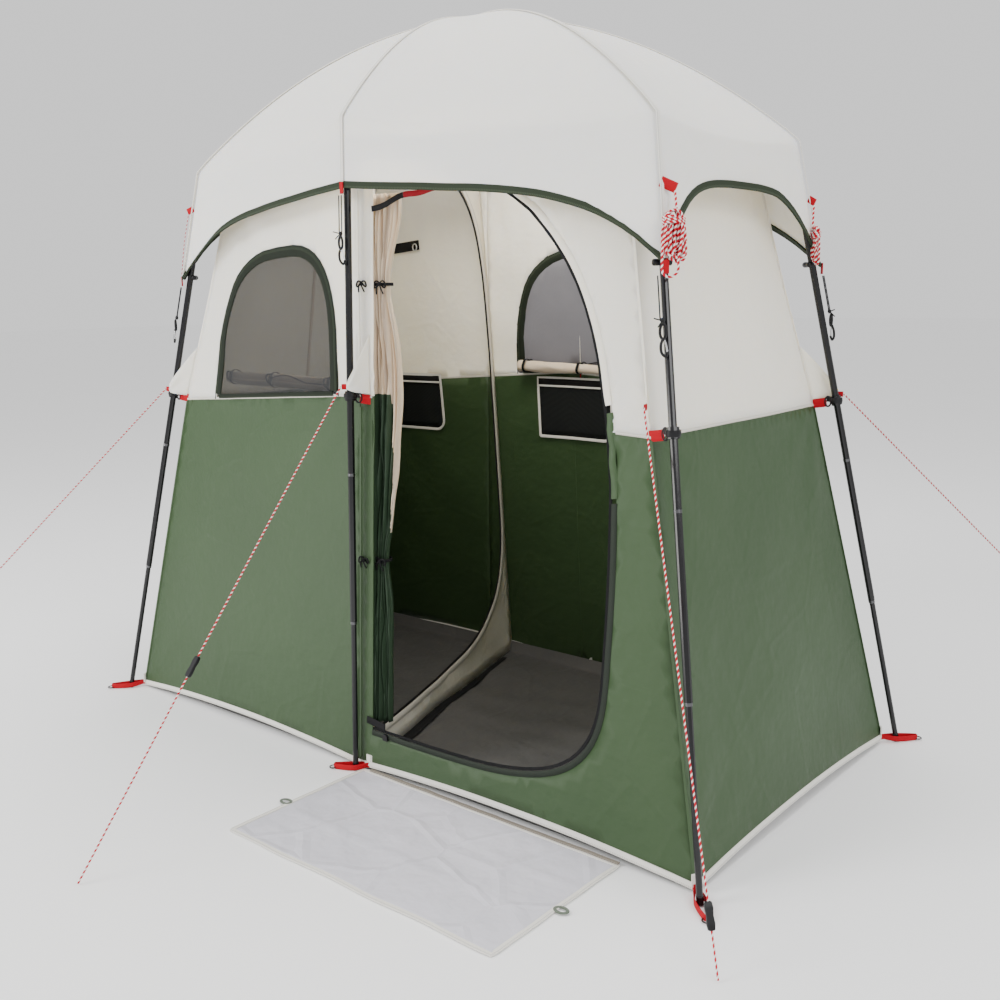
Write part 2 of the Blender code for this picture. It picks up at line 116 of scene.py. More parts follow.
# ---- Materials ----------------------------------------------------------------------------------
class Nodes:
    """Small helper that adds and links shader nodes."""

    def __init__(self, name):
        self.mat = bpy.data.materials.new(name)
        self.mat.use_nodes = True
        self.tree = self.mat.node_tree
        self.shader = self.tree.nodes["Principled BSDF"]

    def add(self, kind, inputs=None, **settings):
        node = self.tree.nodes.new(kind)
        for key, value in settings.items():
            setattr(node, key, value)
        for key, value in (inputs or {}).items():
            if isinstance(value, bpy.types.NodeSocket):
                self.tree.links.new(value, node.inputs[key])
            else:
                node.inputs[key].default_value = value
        return node

    def place(self):
        return self.add("ShaderNodeTexCoord").outputs["Object"]

    def uv(self):
        """U runs along a swept piece, in metres, and V once round its section."""
        coords = self.add("ShaderNodeTexCoord").outputs["UV"]
        u, v, _ = self.add("ShaderNodeSeparateXYZ", {0: coords}).outputs
        return u, v

    def math(self, operation, first, second=0.0):
        return self.add("ShaderNodeMath", {0: first, 1: second}, operation=operation).outputs[0]

    def plus(self, first, second):
        return self.math("ADD", first, second)

    def times(self, first, second):
        return self.math("MULTIPLY", first, second)

    def wave(self, value, pitch):
        return self.math("SINE", self.times(value, 2 * math.pi / pitch))

    def noise(self, vector, scale, detail=3.0, roughness=0.5):
        inputs = {"Vector": vector, "Scale": scale, "Detail": detail, "Roughness": roughness}
        return self.add("ShaderNodeTexNoise", inputs).outputs["Fac"]

    def mix(self, share, first, second, blend="MIX"):
        colours = [c if isinstance(c, bpy.types.NodeSocket) else (*c, 1.0) for c in (first, second)]
        node = self.add("ShaderNodeMix", data_type="RGBA", blend_type=blend)
        for socket, value in zip((0, 6, 7), (share, *colours)):
            if isinstance(value, bpy.types.NodeSocket):
                self.tree.links.new(value, node.inputs[socket])
            else:
                node.inputs[socket].default_value = value
        return node.outputs[2]

    def ramp(self, value, low, high):
        inputs = {"Value": value, "From Min": low, "From Max": high}
        return self.add("ShaderNodeMapRange", inputs).outputs[0]

    def tones(self, value, colour, low, high):
        """From low to high times a colour, as a value goes from -1 to 1."""
        return self.mix(self.ramp(value, -1.0, 1.0), scaled(colour, low), scaled(colour, high))

    def bump(self, height, strength, distance, below=None):
        inputs = {"Height": height, "Strength": strength, "Distance": distance}
        if below is not None:
            inputs["Normal"] = below
        return self.add("ShaderNodeBump", inputs).outputs["Normal"]

    def link(self, value, socket):
        self.tree.links.new(value, self.shader.inputs[socket])

    def done(self, **values):
        """Set uniform numbers on the shader and hand the material over."""
        for key, value in values.items():
            self.shader.inputs[key.replace("_", " ")].default_value = value
        return self.mat


def scaled(colour, factor):
    return tuple(min(1.0, c * factor) for c in colour)


def fabric(name, colour, roughness=0.6, crease=0.0022, weave=0.0011, vary=0.05, lines=0.12, glow=0.0,
           gloss=0.25):
    """Plain woven cloth: fine threads, soft creases, straight fold lines, slight changes of tone."""
    n = Nodes(name)
    place = n.place()
    x, y, z = n.add("ShaderNodeSeparateXYZ", {0: place}).outputs
    slant = n.times(y, 0.7)
    threads = n.times(n.wave(n.plus(x, slant), weave), n.wave(n.plus(z, slant), weave))
    fine = n.noise(place, 90.0, 2.0)
    tone = n.plus(n.times(n.noise(place, 2.2, 4.0, 0.55), 0.8), n.times(fine, 0.2))
    shade = n.mix(n.ramp(tone, 0.3, 0.7), scaled(colour, 1 - vary), scaled(colour, 1 + vary))
    dips = n.tones(threads, (1.0, 1.0, 1.0), 0.93, 1.0)
    n.link(n.mix(1.0, shade, dips, "MULTIPLY"), "Base Color")
    packed = n.add("ShaderNodeTexVoronoi", {"Vector": place, "Scale": 4.2}, feature="DISTANCE_TO_EDGE")
    ridge = n.math("SUBTRACT", 1.0, n.ramp(packed.outputs["Distance"], 0.0, 0.05))
    folds = n.plus(n.noise(place, 9.0, 3.0, 0.6), n.times(n.noise(place, 28.0, 2.0, 0.5), 0.35))
    soft = n.bump(n.plus(folds, n.times(ridge, lines)), 0.6, crease * 4)
    n.link(n.bump(threads, 0.25, 0.0002, soft), "Normal")
    n.link(n.plus(n.times(fine, 0.12), roughness - 0.06), "Roughness")
    if glow:
        n.done(Subsurface_Weight=glow, Subsurface_Scale=0.006, Subsurface_Radius=(1.0, 0.82, 0.55))
    return n.done(Specular_IOR_Level=gloss)


def net_cloth(name, colour, alpha, holes_dip=0.6):
    """Fine netting: round holes too small to see one by one, so partly see-through."""
    n = Nodes(name)
    place = n.place()
    holes = n.add("ShaderNodeTexVoronoi", {"Vector": place, "Scale": 700.0, "Randomness": 0.15})
    base = n.mix(n.ramp(n.noise(place, 6.0), 0.3, 0.7), scaled(colour, 0.9), scaled(colour, 1.1))
    share = n.ramp(holes.outputs["Distance"], 0.1, 0.6)
    n.link(n.mix(share, scaled(colour, holes_dip), base), "Base Color")
    n.link(n.bump(n.noise(place, 14.0), 0.5, 0.004), "Normal")
    return n.done(Roughness=0.8, Alpha=alpha, Specular_IOR_Level=0.15)


def webbing(name, colour, pitch=0.0022):
    """Woven tape with ribs across it."""
    n = Nodes(name)
    u, v = n.uv()
    weave = n.times(n.wave(u, pitch), n.wave(v, 1 / 6))
    n.link(n.tones(weave, colour, 0.72, 1.08), "Base Color")
    n.link(n.bump(weave, 0.6, 0.0004), "Normal")
    return n.done(Roughness=0.65, Specular_IOR_Level=0.15)


def stitched(name, colour, thread, pitch=0.0045, row=0.20):
    """Binding tape with a row of stitches near each edge."""
    n = Nodes(name)
    u, v = n.uv()
    dash = n.math("LESS_THAN", n.math("FRACT", n.math("DIVIDE", u, pitch)), 0.62)
    folded = n.math("ABSOLUTE", n.math("SUBTRACT", n.math("FRACT", n.times(v, 2.0)), 0.5))
    near_row = n.math("LESS_THAN", n.math("ABSOLUTE", n.math("SUBTRACT", folded, row)), 0.035)
    stitch = n.times(dash, near_row)
    ribs = n.wave(u, 0.0016)
    n.link(n.mix(stitch, n.tones(ribs, colour, 0.88, 1.06), thread), "Base Color")
    n.link(n.bump(n.plus(n.times(ribs, 0.3), stitch), 0.5, 0.0005), "Normal")
    return n.done(Roughness=0.7, Specular_IOR_Level=0.15)


def zip_teeth(name, colour):
    """Coil zip: fine teeth across a cloth tape."""
    n = Nodes(name)
    teeth = n.wave(n.uv()[0], 0.0019)
    n.link(n.tones(teeth, colour, 0.5, 1.6), "Base Color")
    n.link(n.bump(teeth, 0.8, 0.0006), "Normal")
    return n.done(Roughness=0.5, Specular_IOR_Level=0.15)


def braid(name, first, second, pitch=0.012):
    """Braided cord with two colours winding round it."""
    n = Nodes(name)
    u, v = n.uv()
    along = n.math("DIVIDE", u, pitch)
    pattern = n.wave(n.plus(along, v), 1.0)
    n.link(n.mix(n.ramp(pattern, 0.26, 0.38), first, second), "Base Color")
    strands = n.wave(n.plus(n.times(along, 3.0), v), 1.0)
    n.link(n.bump(strands, 0.7, 0.0005), "Normal")
    return n.done(Roughness=0.75, Specular_IOR_Level=0.15)


def hard(name, colour, roughness, metallic=0.0, gloss=0.5, grain=0.0003):
    """Moulded plastic or coated metal with a faint grain and scuffs."""
    n = Nodes(name)
    place = n.place()
    scuff = n.noise(place, 40.0, 4.0, 0.65)
    n.link(n.mix(n.ramp(scuff, 0.35, 0.75), colour, scaled(colour, 1.35)), "Base Color")
    n.link(n.plus(n.times(scuff, 0.16), roughness - 0.08), "Roughness")
    n.link(n.bump(n.noise(place, 500.0), 0.3, grain), "Normal")
    return n.done(Metallic=metallic, Specular_IOR_Level=gloss)


MATS = {
    "cream": fabric("cream_polyester", (0.90, 0.845, 0.73), 0.62, 0.0016, vary=0.03, glow=0.5),
    "canopy": fabric("canopy_polyester", (0.92, 0.885, 0.81), 0.60, 0.0012, vary=0.02, glow=0.5),
    "green": fabric("green_polyester", (0.040, 0.074, 0.029), 0.45, 0.0018, vary=0.07, gloss=0.28),
    "facing": fabric("dark_green_facing", (0.012, 0.018, 0.011), 0.6, 0.001, vary=0.08),
    "tan": fabric("tan_polyester", (0.74, 0.58, 0.42), 0.65, 0.0020, vary=0.06, glow=0.4),
    "inner": fabric("divider_polyester", (0.76, 0.71, 0.60), 0.65, 0.0022, vary=0.05, glow=0.4),
    "door_dark": fabric("door_panel_lower", (0.026, 0.048, 0.026), 0.5, 0.0020, vary=0.1),
    "floor": fabric("groundsheet_weave", (0.086, 0.085, 0.083), 0.50, 0.0020, 0.0026, 0.14),
    "mat": fabric("mat_weave", (0.64, 0.63, 0.69), 0.55, 0.0030, 0.0026, 0.05, 0.35),
    "net": net_cloth("window_netting", (0.055, 0.056, 0.058), 0.62),
    # Same netting as the front window, given a paler grey: the lighter colour is painted backlight from the
    # bright outside shining through the back window.
    "net_back": net_cloth("back_window_netting_painted_backlight", (0.175, 0.175, 0.195), 0.96, 1.0),
    "pocket": net_cloth("pocket_netting", (0.014, 0.016, 0.016), 0.96),
    "binding": stitched("olive_binding", (0.026, 0.036, 0.021), (0.05, 0.065, 0.04)),
    "window_binding": stitched("dark_green_binding", (0.013, 0.018, 0.011), (0.03, 0.04, 0.025)),
    "white_binding": stitched("white_binding", (0.80, 0.78, 0.72), (0.55, 0.54, 0.50)),
    "cream_tape": stitched("cream_tape", (0.66, 0.63, 0.56), (0.45, 0.42, 0.36)),
    "brown_tape": stitched("brown_tape", (0.26, 0.23, 0.19), (0.50, 0.46, 0.40), 0.006, 0.30),
    "red_web": webbing("red_webbing", (0.46, 0.002, 0.012)),
    "dark_red": webbing("dark_red_webbing", (0.30, 0.010, 0.018)),
    "black_web": webbing("black_webbing", (0.010, 0.010, 0.011)),
    "grey_web": webbing("grey_green_webbing", (0.16, 0.19, 0.15)),
    "zip": zip_teeth("black_zip", (0.010, 0.010, 0.011)),
    "cord": braid("red_white_braid", (0.50, 0.003, 0.018), (0.86, 0.84, 0.80)),
    "elastic": webbing("grey_elastic", (0.035, 0.035, 0.038), 0.0014),
    "steel": hard("black_gloss_tube", (0.004, 0.004, 0.005), 0.17, 0.0, 0.42, 0.0001),
    "plastic": hard("black_moulding", (0.006, 0.006, 0.007), 0.40, 0.0, 0.25),
    "ring": hard("worn_tube_end", (0.10, 0.10, 0.105), 0.35, 1.0),
    "bright": hard("bright_steel", (0.55, 0.55, 0.56), 0.28, 1.0),
}


# ---- Mesh tools --------------------------------------------------------------------------------
def mesh_object(name, verts, faces, mat, uvs=None, smooth=40.0):
    mesh = bpy.data.meshes.new(name)
    mesh.from_pydata([tuple(v) for v in verts], [], faces)
    if uvs is not None:
        layer = mesh.uv_layers.new(name="UVMap")
        for loop, uv in zip(layer.data, uvs):
            loop.uv = uv
    mesh.materials.append(MATS[mat])
    mesh.shade_smooth()
    mesh.set_sharp_from_angle(angle=math.radians(smooth))
    obj = bpy.data.objects.new(name, mesh)
    bpy.context.scene.collection.objects.link(obj)
    return obj


def finish_piece(obj, body, slot, nodes=()):
    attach(obj, body)
    if nodes:
        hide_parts(*nodes)
    return obj


def thicken(obj, thickness=CLOTH):
    solid = obj.modifiers.new("cloth", "SOLIDIFY")
    solid.thickness = thickness
    solid.offset = 0.0
    return obj


def join(name, parts):
    """Make one piece of several meshes."""
    with bpy.context.temp_override(active_object=parts[0], selected_editable_objects=parts):
        bpy.ops.object.join()
    parts[0].name = name
    return parts[0]


def grid(name, rows, mat, second=None, uses_second=None):
    """A sheet through rows of points; a second material goes where uses_second(row, column) says."""
    width = len(rows[0])
    faces = [(i * width + j, i * width + j + 1, (i + 1) * width + j + 1, (i + 1) * width + j)
             for i in range(len(rows) - 1) for j in range(width - 1)]
    sheet = mesh_object(name, [p for row in rows for p in row], faces, mat, smooth=60.0)
    if second:
        sheet.data.materials.append(MATS[second])
        for face in sheet.data.polygons:
            face.material_index = int(uses_second(*divmod(face.vertices[0], width)))
    return sheet


def extent(cloth):
    """The two longer sides of a mesh's box, the longer one last."""
    spans = []
    for axis in range(3):
        along = [v.co[axis] for v in cloth.data.vertices]
        spans.append(max(along) - min(along))
    return sorted(spans)[1:]


def cut_area(cloth):
    return sum(face.area for face in cloth.data.polygons)


def declare_sheet(cloth, held, flat=None, rests_on=(), with_pieces=()):
    """Work out a cloth's cut area and flat size, cut to its own surface; a cut with a large hole counts as
    the strip round it. Nothing is kept.
    """
    area = cut_area(cloth)
    width, length = flat or extent(cloth)
    if area < 0.3 * width * length:
        length = width + length
        width = area / length
    area = min(area, width * length)


def finish_cloth(cloth, held, body, slot, nodes=(), thickness=CLOTH, **declared):
    """Work out a sheet of cloth's size, then give it its thickness and its body."""
    declare_sheet(cloth, held, **declared)
    return finish_piece(thicken(cloth, thickness), body, slot, nodes)


def frames_along(path, side):
    """Tangent, side and normal at each point of a path."""
    out = []
    for i in range(len(path)):
        tangent = (path[min(i + 1, len(path) - 1)] - path[max(i - 1, 0)]).normalized()
        hint = side[i] if isinstance(side, list) else side
        across = tangent.cross(hint)
        if across.length < 1e-6:
            across = tangent.orthogonal()
        across.normalize()
        out.append((tangent, across, across.cross(tangent).normalized()))
    return out


def sweep(name, path, section, mat, up, sizes=None):
    """Carry a closed section of (across, out) points along a path, with caps and UVs."""
    path = [Vector(p) for p in path]
    count = len(section)
    verts = []
    lengths = [0.0]
    for a, b in zip(path, path[1:]):
        lengths.append(lengths[-1] + (b - a).length)
    for i, (_, across, out) in enumerate(frames_along(path, up)):
        size = sizes[i] if sizes else 1.0
        verts += [path[i] + across * (a * size) + out * (b * size) for a, b in section]
    faces, uvs = [], []
    for i in range(len(path) - 1):
        for j in range(count):
            k = (j + 1) % count
            faces.append((i * count + j, (i + 1) * count + j, (i + 1) * count + k, i * count + k))
            low, high = j / count, (j + 1) / count
            uvs += [(lengths[i], low), (lengths[i + 1], low), (lengths[i + 1], high), (lengths[i], high)]
    last = (len(path) - 1) * count
    faces.append(tuple(range(count)))
    faces.append(tuple(last + j for j in reversed(range(count))))
    uvs += [(lengths[0], j / count) for j in range(count)]
    uvs += [(lengths[-1], j / count) for j in reversed(range(count))]
    return mesh_object(name, verts, faces, mat, uvs, smooth=50.0)


def circle(radius, count=10):
    angles = [2 * math.pi * i / count for i in range(count)]
    return [(radius * math.cos(a), radius * math.sin(a)) for a in angles]


def tape(width, thickness):
    """Section of a flat tape with soft edges."""
    w, t = width / 2, thickness / 2
    return [(-w, -t * 0.4), (-w * 0.9, -t), (w * 0.9, -t), (w, -t * 0.4),
            (w, t * 0.4), (w * 0.9, t), (-w * 0.9, t), (-w, t * 0.4)]


def tube(name, path, radius, mat, sizes=None, count=10):
    return sweep(name, path, circle(radius, count), mat, Vector((0.31, 0.92, 0.23)), sizes)


def strap(name, path, out, width, thickness, mat):
    return sweep(name, path, tape(width, thickness), mat, out)


def lay_strap(name, path, out, width, thickness, mat, body, slot):
    return finish_piece(strap(name, path, out, width, thickness, mat), body, slot)


def smooth_curve(points, per_span=8):
    """Catmull-Rom curve through the points."""
    points = [Vector(p) for p in points]
    padded = [points[0] * 2 - points[1]] + points + [points[-1] * 2 - points[-2]]
    out = []
    for a, b, c, d in zip(padded, padded[1:], padded[2:], padded[3:]):
        for i in range(per_span):
            t = i / per_span
            out.append(0.5 * (2 * b + (c - a) * t + (2 * a - 5 * b + 4 * c - d) * t * t
                              + (3 * b - a - 3 * c + d) * t ** 3))
    out.append(points[-1])
    return out


def path_length(path):
    return sum((b - a).length for a, b in zip(path, path[1:]))


def line(count, low, high):
    return [low + (high - low) * i / count for i in range(count + 1)]


def loop_path(centre, first, second, width, height, count=20):
    """An oval round a point, in the plane of two directions."""
    return [centre + first * (0.5 * width * math.cos(a)) + second * (0.5 * height * math.sin(a))
            for a in line(count, 0, 2 * math.pi)]


def inside(x, y, outline):
    hit = False
    for (x0, y0), (x1, y1) in zip(outline, outline[1:] + outline[:1]):
        if (y0 > y) != (y1 > y) and x < (x1 - x0) * (y - y0) / (y1 - y0) + x0:
            hit = not hit
    return hit


def triangles(outline, holes, extra=()):
    """Fill an outline with triangles, but not its holes; extra points become corners too."""
    points, edges = [], []
    for loop in [outline] + holes:
        first = len(points)
        points += [Vector(p) for p in loop]
        edges += [(first + i, first + (i + 1) % len(loop)) for i in range(len(loop))]
    verts, _, faces, *_ = delaunay_2d_cdt(points + list(extra), edges, [], 0, 1e-6)
    kept = []
    for face in faces:
        x, y = (sum(verts[i][axis] for i in face) / len(face) for axis in (0, 1))
        if inside(x, y, outline) and not any(inside(x, y, h) for h in holes):
            kept.append(tuple(face))
    return verts, kept


def panel(name, outline, holes, place, mat, spacing):
    """Cloth panel: a flat outline with holes, meshed evenly and laid on a curved surface."""
    border = [p for loop in [outline] + holes for p in loop]
    rim = KDTree(len(border))
    for i, p in enumerate(border):
        rim.insert((p[0], p[1], 0.0), i)
    rim.balance()
    low_x, high_x = min(p[0] for p in outline), max(p[0] for p in outline)
    low_y, high_y = min(p[1] for p in outline), max(p[1] for p in outline)
    row_gap = spacing * 0.87
    extra = []
    for i in range(1, int((high_y - low_y) / row_gap) + 1):
        y = low_y + i * row_gap
        for j in range(int((high_x - low_x) / spacing) + 1):
            x = low_x + (j + 0.5 * (i % 2)) * spacing
            clear = rim.find((x, y, 0.0))[2] > spacing * 0.45
            if clear and inside(x, y, outline) and not any(inside(x, y, h) for h in holes):
                extra.append(Vector((x, y)))
    verts, kept = triangles(outline, holes, extra)
    used = sorted({i for face in kept for i in face})
    index = {old: new for new, old in enumerate(used)}
    faces = [tuple(index[i] for i in face) for face in kept]
    return mesh_object(name, [place(*verts[i]) for i in used], faces, mat, smooth=60.0)


def carve(outline, hole):
    """Take a hole that crosses the outline's edge out of it."""
    verts, kept = triangles(outline, [hole])
    border = {edge: True for face in kept for edge in zip(face, face[1:] + face[:1])}
    following = {a: b for (a, b) in border if (b, a) not in border}
    start = next(iter(following))
    loop, here = [], start
    while True:
        loop.append((verts[here].x, verts[here].y))
        here = following[here]
        if here == start:
            return loop


def declare_cord(path):
    """Work out the length of a limp cord's path, which leaves the tent at its first point; nothing is kept.
    """
    path_length(path)


def pulled(x, z, anchors):
    """Folds that radiate from the points where the cloth is pulled."""
    total = 0.0
    for i, (ax, az) in enumerate(anchors):
        gap = math.hypot(x - ax, z - az)
        turn = math.atan2(z - az, x - ax)
        total += math.exp(-gap / 0.22) * min(1.0, gap / 0.07) * math.sin(10 * turn + 1.7 * i)
    return total


def bezier(a, b, c, t):
    return a * (1 - t) ** 2 + b * (2 * t * (1 - t)) + c * t * t


# ---- Shapes shared by several pieces --------------------------------------------------------------
def at_height(table, z):
    for low, high in zip(table, table[1:]):
        if z <= high[0] or high is table[-1]:
            share = (z - low[0]) / (high[0] - low[0])
            return low[1] + share * (high[1] - low[1])


def wall_y(x, z):
    share = min(abs(x) / at_height(WALL_CORNER_X, z), 1.0)
    middle = at_height(WALL_MID_Y, z)
    return middle + share * (at_height(WALL_CORNER_Y, z) - middle)


def leg_point(which, z):
    """Point on a leg's axis, from the foot's box and the leg's own joint axis."""
    sx, sy = LEGS[which]
    low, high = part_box(f"leg_lower_{which}")
    axis = LEG_AXES[which]
    x = 0.0 if sx == 0 else (high[0] - LEG_FOOT_R if sx > 0 else low[0] + LEG_FOOT_R)
    y = high[1] - LEG_FOOT_R if sy > 0 else low[1] + LEG_FOOT_R
    return Vector((x, y, 0)) + axis * (z / axis.z)


LEG_AXES = {
    which: -Vector(next(j["axis"] for j in frame["record"]["behaviour"]["joints"]
                        if j["name"] == f"leg_plug_{which}"))
    for which in LEGS
}


def beside_leg(which, z):
    """Where the canopy's cloth passes a leg."""
    sx, sy = LEGS[which]
    leg = leg_point(which, z)
    return Vector((leg.x + sx * CANOPY_GAP, leg.y + sy * CANOPY_GAP, z))


def outward(which):
    sx, sy = LEGS[which]
    return Vector((sx, sy, 0)).normalized()


def superquarter(width, height, power, steps, upward):
    points = []
    for i in range(steps + 1):
        angle = 0.5 * math.pi * i / steps
        across = width * math.cos(angle) ** (2 / power)
        along = height * math.sin(angle) ** (2 / power)
        points.append((across, along if upward else -along))
    return points


def d_outline(left, size, powers, grow, steps):
    """The zip's line round a way through cloth: straight at the left, widest at one height."""
    width, wide_z, sill, top = size
    upper = superquarter(width + grow, top - wide_z + grow, powers[0], steps, True)
    lower = superquarter(width + grow, wide_z - sill + grow, powers[1], steps, False)
    return [(left + across, wide_z + along) for across, along in lower[::-1] + upper[1:]]


def ripple(point, fade, amount=0.004, scale=3.2):
    """Soft out-of-plane folds in hung cloth, none where fade is 0."""
    p = Vector(point)
    wide = noise.noise(Vector((p.x * scale, p.y * scale, p.z * scale * 0.6)))
    slanted = Vector(((p.x + p.z) * scale * 2.1, p.y * 4, (p.z - p.x) * scale * 0.8))
    slant = noise.noise(slanted + Vector((7, 3, 1)))
    return amount * fade * (wide + 0.6 * slant)


# ---- Camera, light and floor ---------------------------------------------------------------------
CAMERA_PLACE = (2.0887, -2.3865, 1.2447)
CAMERA_TURNS = (40.138, 10.654, 0.908)         # yaw, pitch and roll, in degrees
LENS = 39.96


def make_camera():
    data = bpy.data.cameras.new("camera")
    data.lens = LENS
    camera = bpy.data.objects.new("camera", data)
    bpy.context.scene.collection.objects.link(camera)
    yaw, pitch, roll = (math.radians(a) for a in CAMERA_TURNS)
    camera.matrix_world = (Matrix.Translation(CAMERA_PLACE) @ Matrix.Rotation(yaw, 4, "Z")
                           @ Matrix.Rotation(math.pi / 2 - pitch, 4, "X") @ Matrix.Rotation(-roll, 4, "Z"))
    bpy.context.scene.camera = camera


def area_light(name, place, aim, size, power, colour=(1, 1, 1)):
    data = bpy.data.lights.new(name, "AREA")
    data.shape = "DISK"
    data.size = size
    data.energy = power
    data.color = colour
    light = bpy.data.objects.new(name, data)
    light.location = place
    light.rotation_euler = (Vector(aim) - Vector(place)).to_track_quat("-Z", "Y").to_euler()
    bpy.context.scene.collection.objects.link(light)


def make_studio():
    world = bpy.data.worlds.new("studio")
    bpy.context.scene.world = world
    world.use_nodes = True
    background = world.node_tree.nodes["Background"]
    background.inputs["Color"].default_value = (1.0, 1.0, 1.0, 1.0)
    background.inputs["Strength"].default_value = 1.0
    area_light("key", (-2.6, -4.6, 4.2), (0, 0, 1.0), 2.6, 230)
    area_light("fill", (4.6, -1.6, 3.0), (0, 0, 0.9), 2.4, 90)
    area_light("top", (0.4, 0.8, 5.2), (0, 0, 1.2), 3.0, 120)
    area_light("low_fill", (-2.6, -4.2, 0.8), (-0.4, -0.4, 0.9), 1.6, 60, (1.0, 0.98, 0.94))
    area_light("inside_soft", (0.05, -0.05, 1.70), (0.1, 0.1, 0.0), 0.5, 10, (1.0, 0.96, 0.90))
    n = Nodes("studio_floor")
    tone = n.ramp(n.noise(n.place(), 0.8), 0.0, 1.0)
    n.link(n.mix(tone, (0.96, 0.96, 0.96), (0.98, 0.98, 0.98)), "Base Color")
    n.done(Roughness=0.9)
    mesh = bpy.data.meshes.new("studio_floor")
    half, drop = 40.0, -0.0005
    mesh.from_pydata([(-half, -half, drop), (half, -half, drop), (half, half, drop), (-half, half, drop)],
                     [], [(0, 1, 2, 3)])
    mesh.materials.append(n.mat)
    floor = bpy.data.objects.new("studio_floor", mesh)
    bpy.context.scene.collection.objects.link(floor)


# ---- Walls --------------------------------------------------------------------------------------
def long_place(sy):
    """A front or back wall: s runs from -1 to 1 between its corners."""
    anchors = [(-WAIST_HALF, 0.94), (WAIST_HALF, 0.94), (0.0, 0.99), (-1.0, 0.03), (1.0, 0.03),
               (-0.69, 1.60), (0.69, 1.60)]

    def place(s, z):
        x = s * at_height(WALL_CORNER_X, z)
        fade = min(1.0, 6 * (1 - abs(s)), 5 * abs(s) + 0.15, 7 * abs(z - HEM_Z) + 0.1)
        folds = ripple((x, sy, z), fade) + 0.0060 * fade * pulled(x, z, anchors)
        gather = math.sin(2 * math.pi * x / 0.062 + 3 * noise.noise(Vector((x * 7, z * 3, 4))))
        folds += 0.0024 * fade * gather * max(0.0, min(1.0, (z - 1.33) / 0.12))
        return Vector((x, sy * (wall_y(x, z) + folds), z))
    return place


def end_place(sx):
    anchors = [(-0.40, 0.94), (0.40, 0.94), (-0.50, 0.03), (0.50, 0.03), (-0.29, 1.60), (0.29, 1.60)]

    def place(s, z):
        x = sx * at_height(WALL_CORNER_X, z)
        y = s * at_height(WALL_CORNER_Y, z)
        fade = min(1.0, 4 * (1 - abs(s)), 7 * abs(z - HEM_Z) + 0.1)
        folds = ripple((sx, y, z), fade, 0.006) + 0.0034 * fade * pulled(y, z, anchors)
        return Vector((x + sx * folds, y, z))
    return place


def waist(s, end):
    """Height of the seam between the green and the off-white cloth."""
    return WAIST_CORNER if end else WAIST_MID + (WAIST_CORNER - WAIST_MID) * abs(s)


def hem(s, s_low, s_high):
    u = (s - s_low) / (s_high - s_low)
    return HEM_Z + HEM_ARCH * 4 * u * (1 - u)


def wall_top(s, end):
    return WALL_TOP + (0.0 if end else 0.03 * (1 - abs(s)))


def to_wall(outline):
    """An outline in x and z, as one in the wall's own s and z."""
    return [(x / at_height(WALL_CORNER_X, z), z) for x, z in outline]


def door_line(grow=0.0, steps=22):
    return d_outline(DOOR_LEFT, DOOR_SIZE, DOOR_POWERS, grow, steps)


def door_hole():
    """What is cut out of the wall, in x and z."""
    edge = DOOR_LEFT - 0.004
    _, _, sill, top = DOOR_SIZE
    return [(edge, sill - DOOR_CUT)] + door_line(DOOR_CUT) + [(edge, top + DOOR_CUT)]


def window_outline(middle, grow=0.0):
    """Round-topped window whose base follows the waist seam."""
    def base(x):
        return waist(x / WAIST_HALF, False) + 0.008 - grow
    rise = WINDOW_TOP + grow - base(middle)
    arch = superquarter(WINDOW_HALF + grow, 1.0, 3.1, 12, True)
    right = [(middle + across, base(middle + across) + rise * along) for across, along in arch]
    left = [(middle - across, base(middle - across) + rise * along) for across, along in arch[-2::-1]]
    bottom = [(x, base(x)) for x in line(8, left[-1][0], right[0][0])[1:-1]]
    return right + left + bottom


def window_arch(label, grow):
    """The round-topped part of a window's outline, in the wall's own s and z."""
    return to_wall(window_outline(WINDOWS[label], grow)[:25])


def wall_panel(side, s_low, s_high):
    """Outlines of the green lower and off-white upper cloth of one panel."""
    end = side in ("end_left", "end_right")
    ss = line(28, s_low, s_high)
    low = [(s, hem(s, s_low, s_high)) for s in ss]
    seam = [(s, waist(s, end)) for s in ss]
    top = [(s, wall_top(s, end)) for s in ss]
    rises = line(17, 0.08, 0.88)
    lower = low + [(s_high, z) for z in rises] + seam[::-1] + [(s_low, z) for z in reversed(rises)]
    rises = line(10, 1.04, 1.54)
    upper = seam + [(s_high, z) for z in rises] + top[::-1] + [(s_low, z) for z in reversed(rises)]
    return lower, upper


PLACES = {
    "front": long_place(-1),
    "back": long_place(1),
    "end_left": end_place(-1),
    "end_right": end_place(1),
}


def make_walls():
    door = to_wall(door_hole())
    front_window, back_window = (to_wall(window_outline(WINDOWS[side], 0.004)) for side in SIDES)
    panels = (
        ("wall_front_left", "front", -1.0, -0.0005, front_window, None),
        ("wall_front_right", "front", 0.0005, 1.0, None, door),
        ("wall_back_left", "back", -1.0, BACK_SPLIT, None, None),
        ("wall_back_right", "back", BACK_SPLIT, 1.0, back_window, None),
        ("wall_end_left", "end_left", -1.0, 1.0, None, None),
        ("wall_end_right", "end_right", -1.0, 1.0, None, None),
    )
    for node, side, s_low, s_high, window, doorway in panels:
        lower, upper = wall_panel(side, s_low, s_high)
        parts = (("lower", lower, "green", []), ("upper", upper, "cream", ["canopy"]))
        for part, outline, mat, held_by in parts:
            holes = [window] if window and part == "upper" else []
            if doorway:
                outline = carve(outline, doorway)
            cloth = panel(f"{node}_{part}", outline, holes, PLACES[side], mat, 0.032)
            finish_cloth(cloth, "stretched", "root", mat, [node], rests_on=held_by)


def surface_frame(place, s, z):
    """Point on a wall and the direction that faces out of the tent there."""
    here = place(s, z)
    along = (place(s + 0.004, z) - place(s - 0.004, z)).normalized()
    rise = (place(s, z + 0.004) - place(s, z - 0.004)).normalized()
    out = along.cross(rise).normalized()
    return here, -out if out.dot(here - UP * here.z) < 0 else out


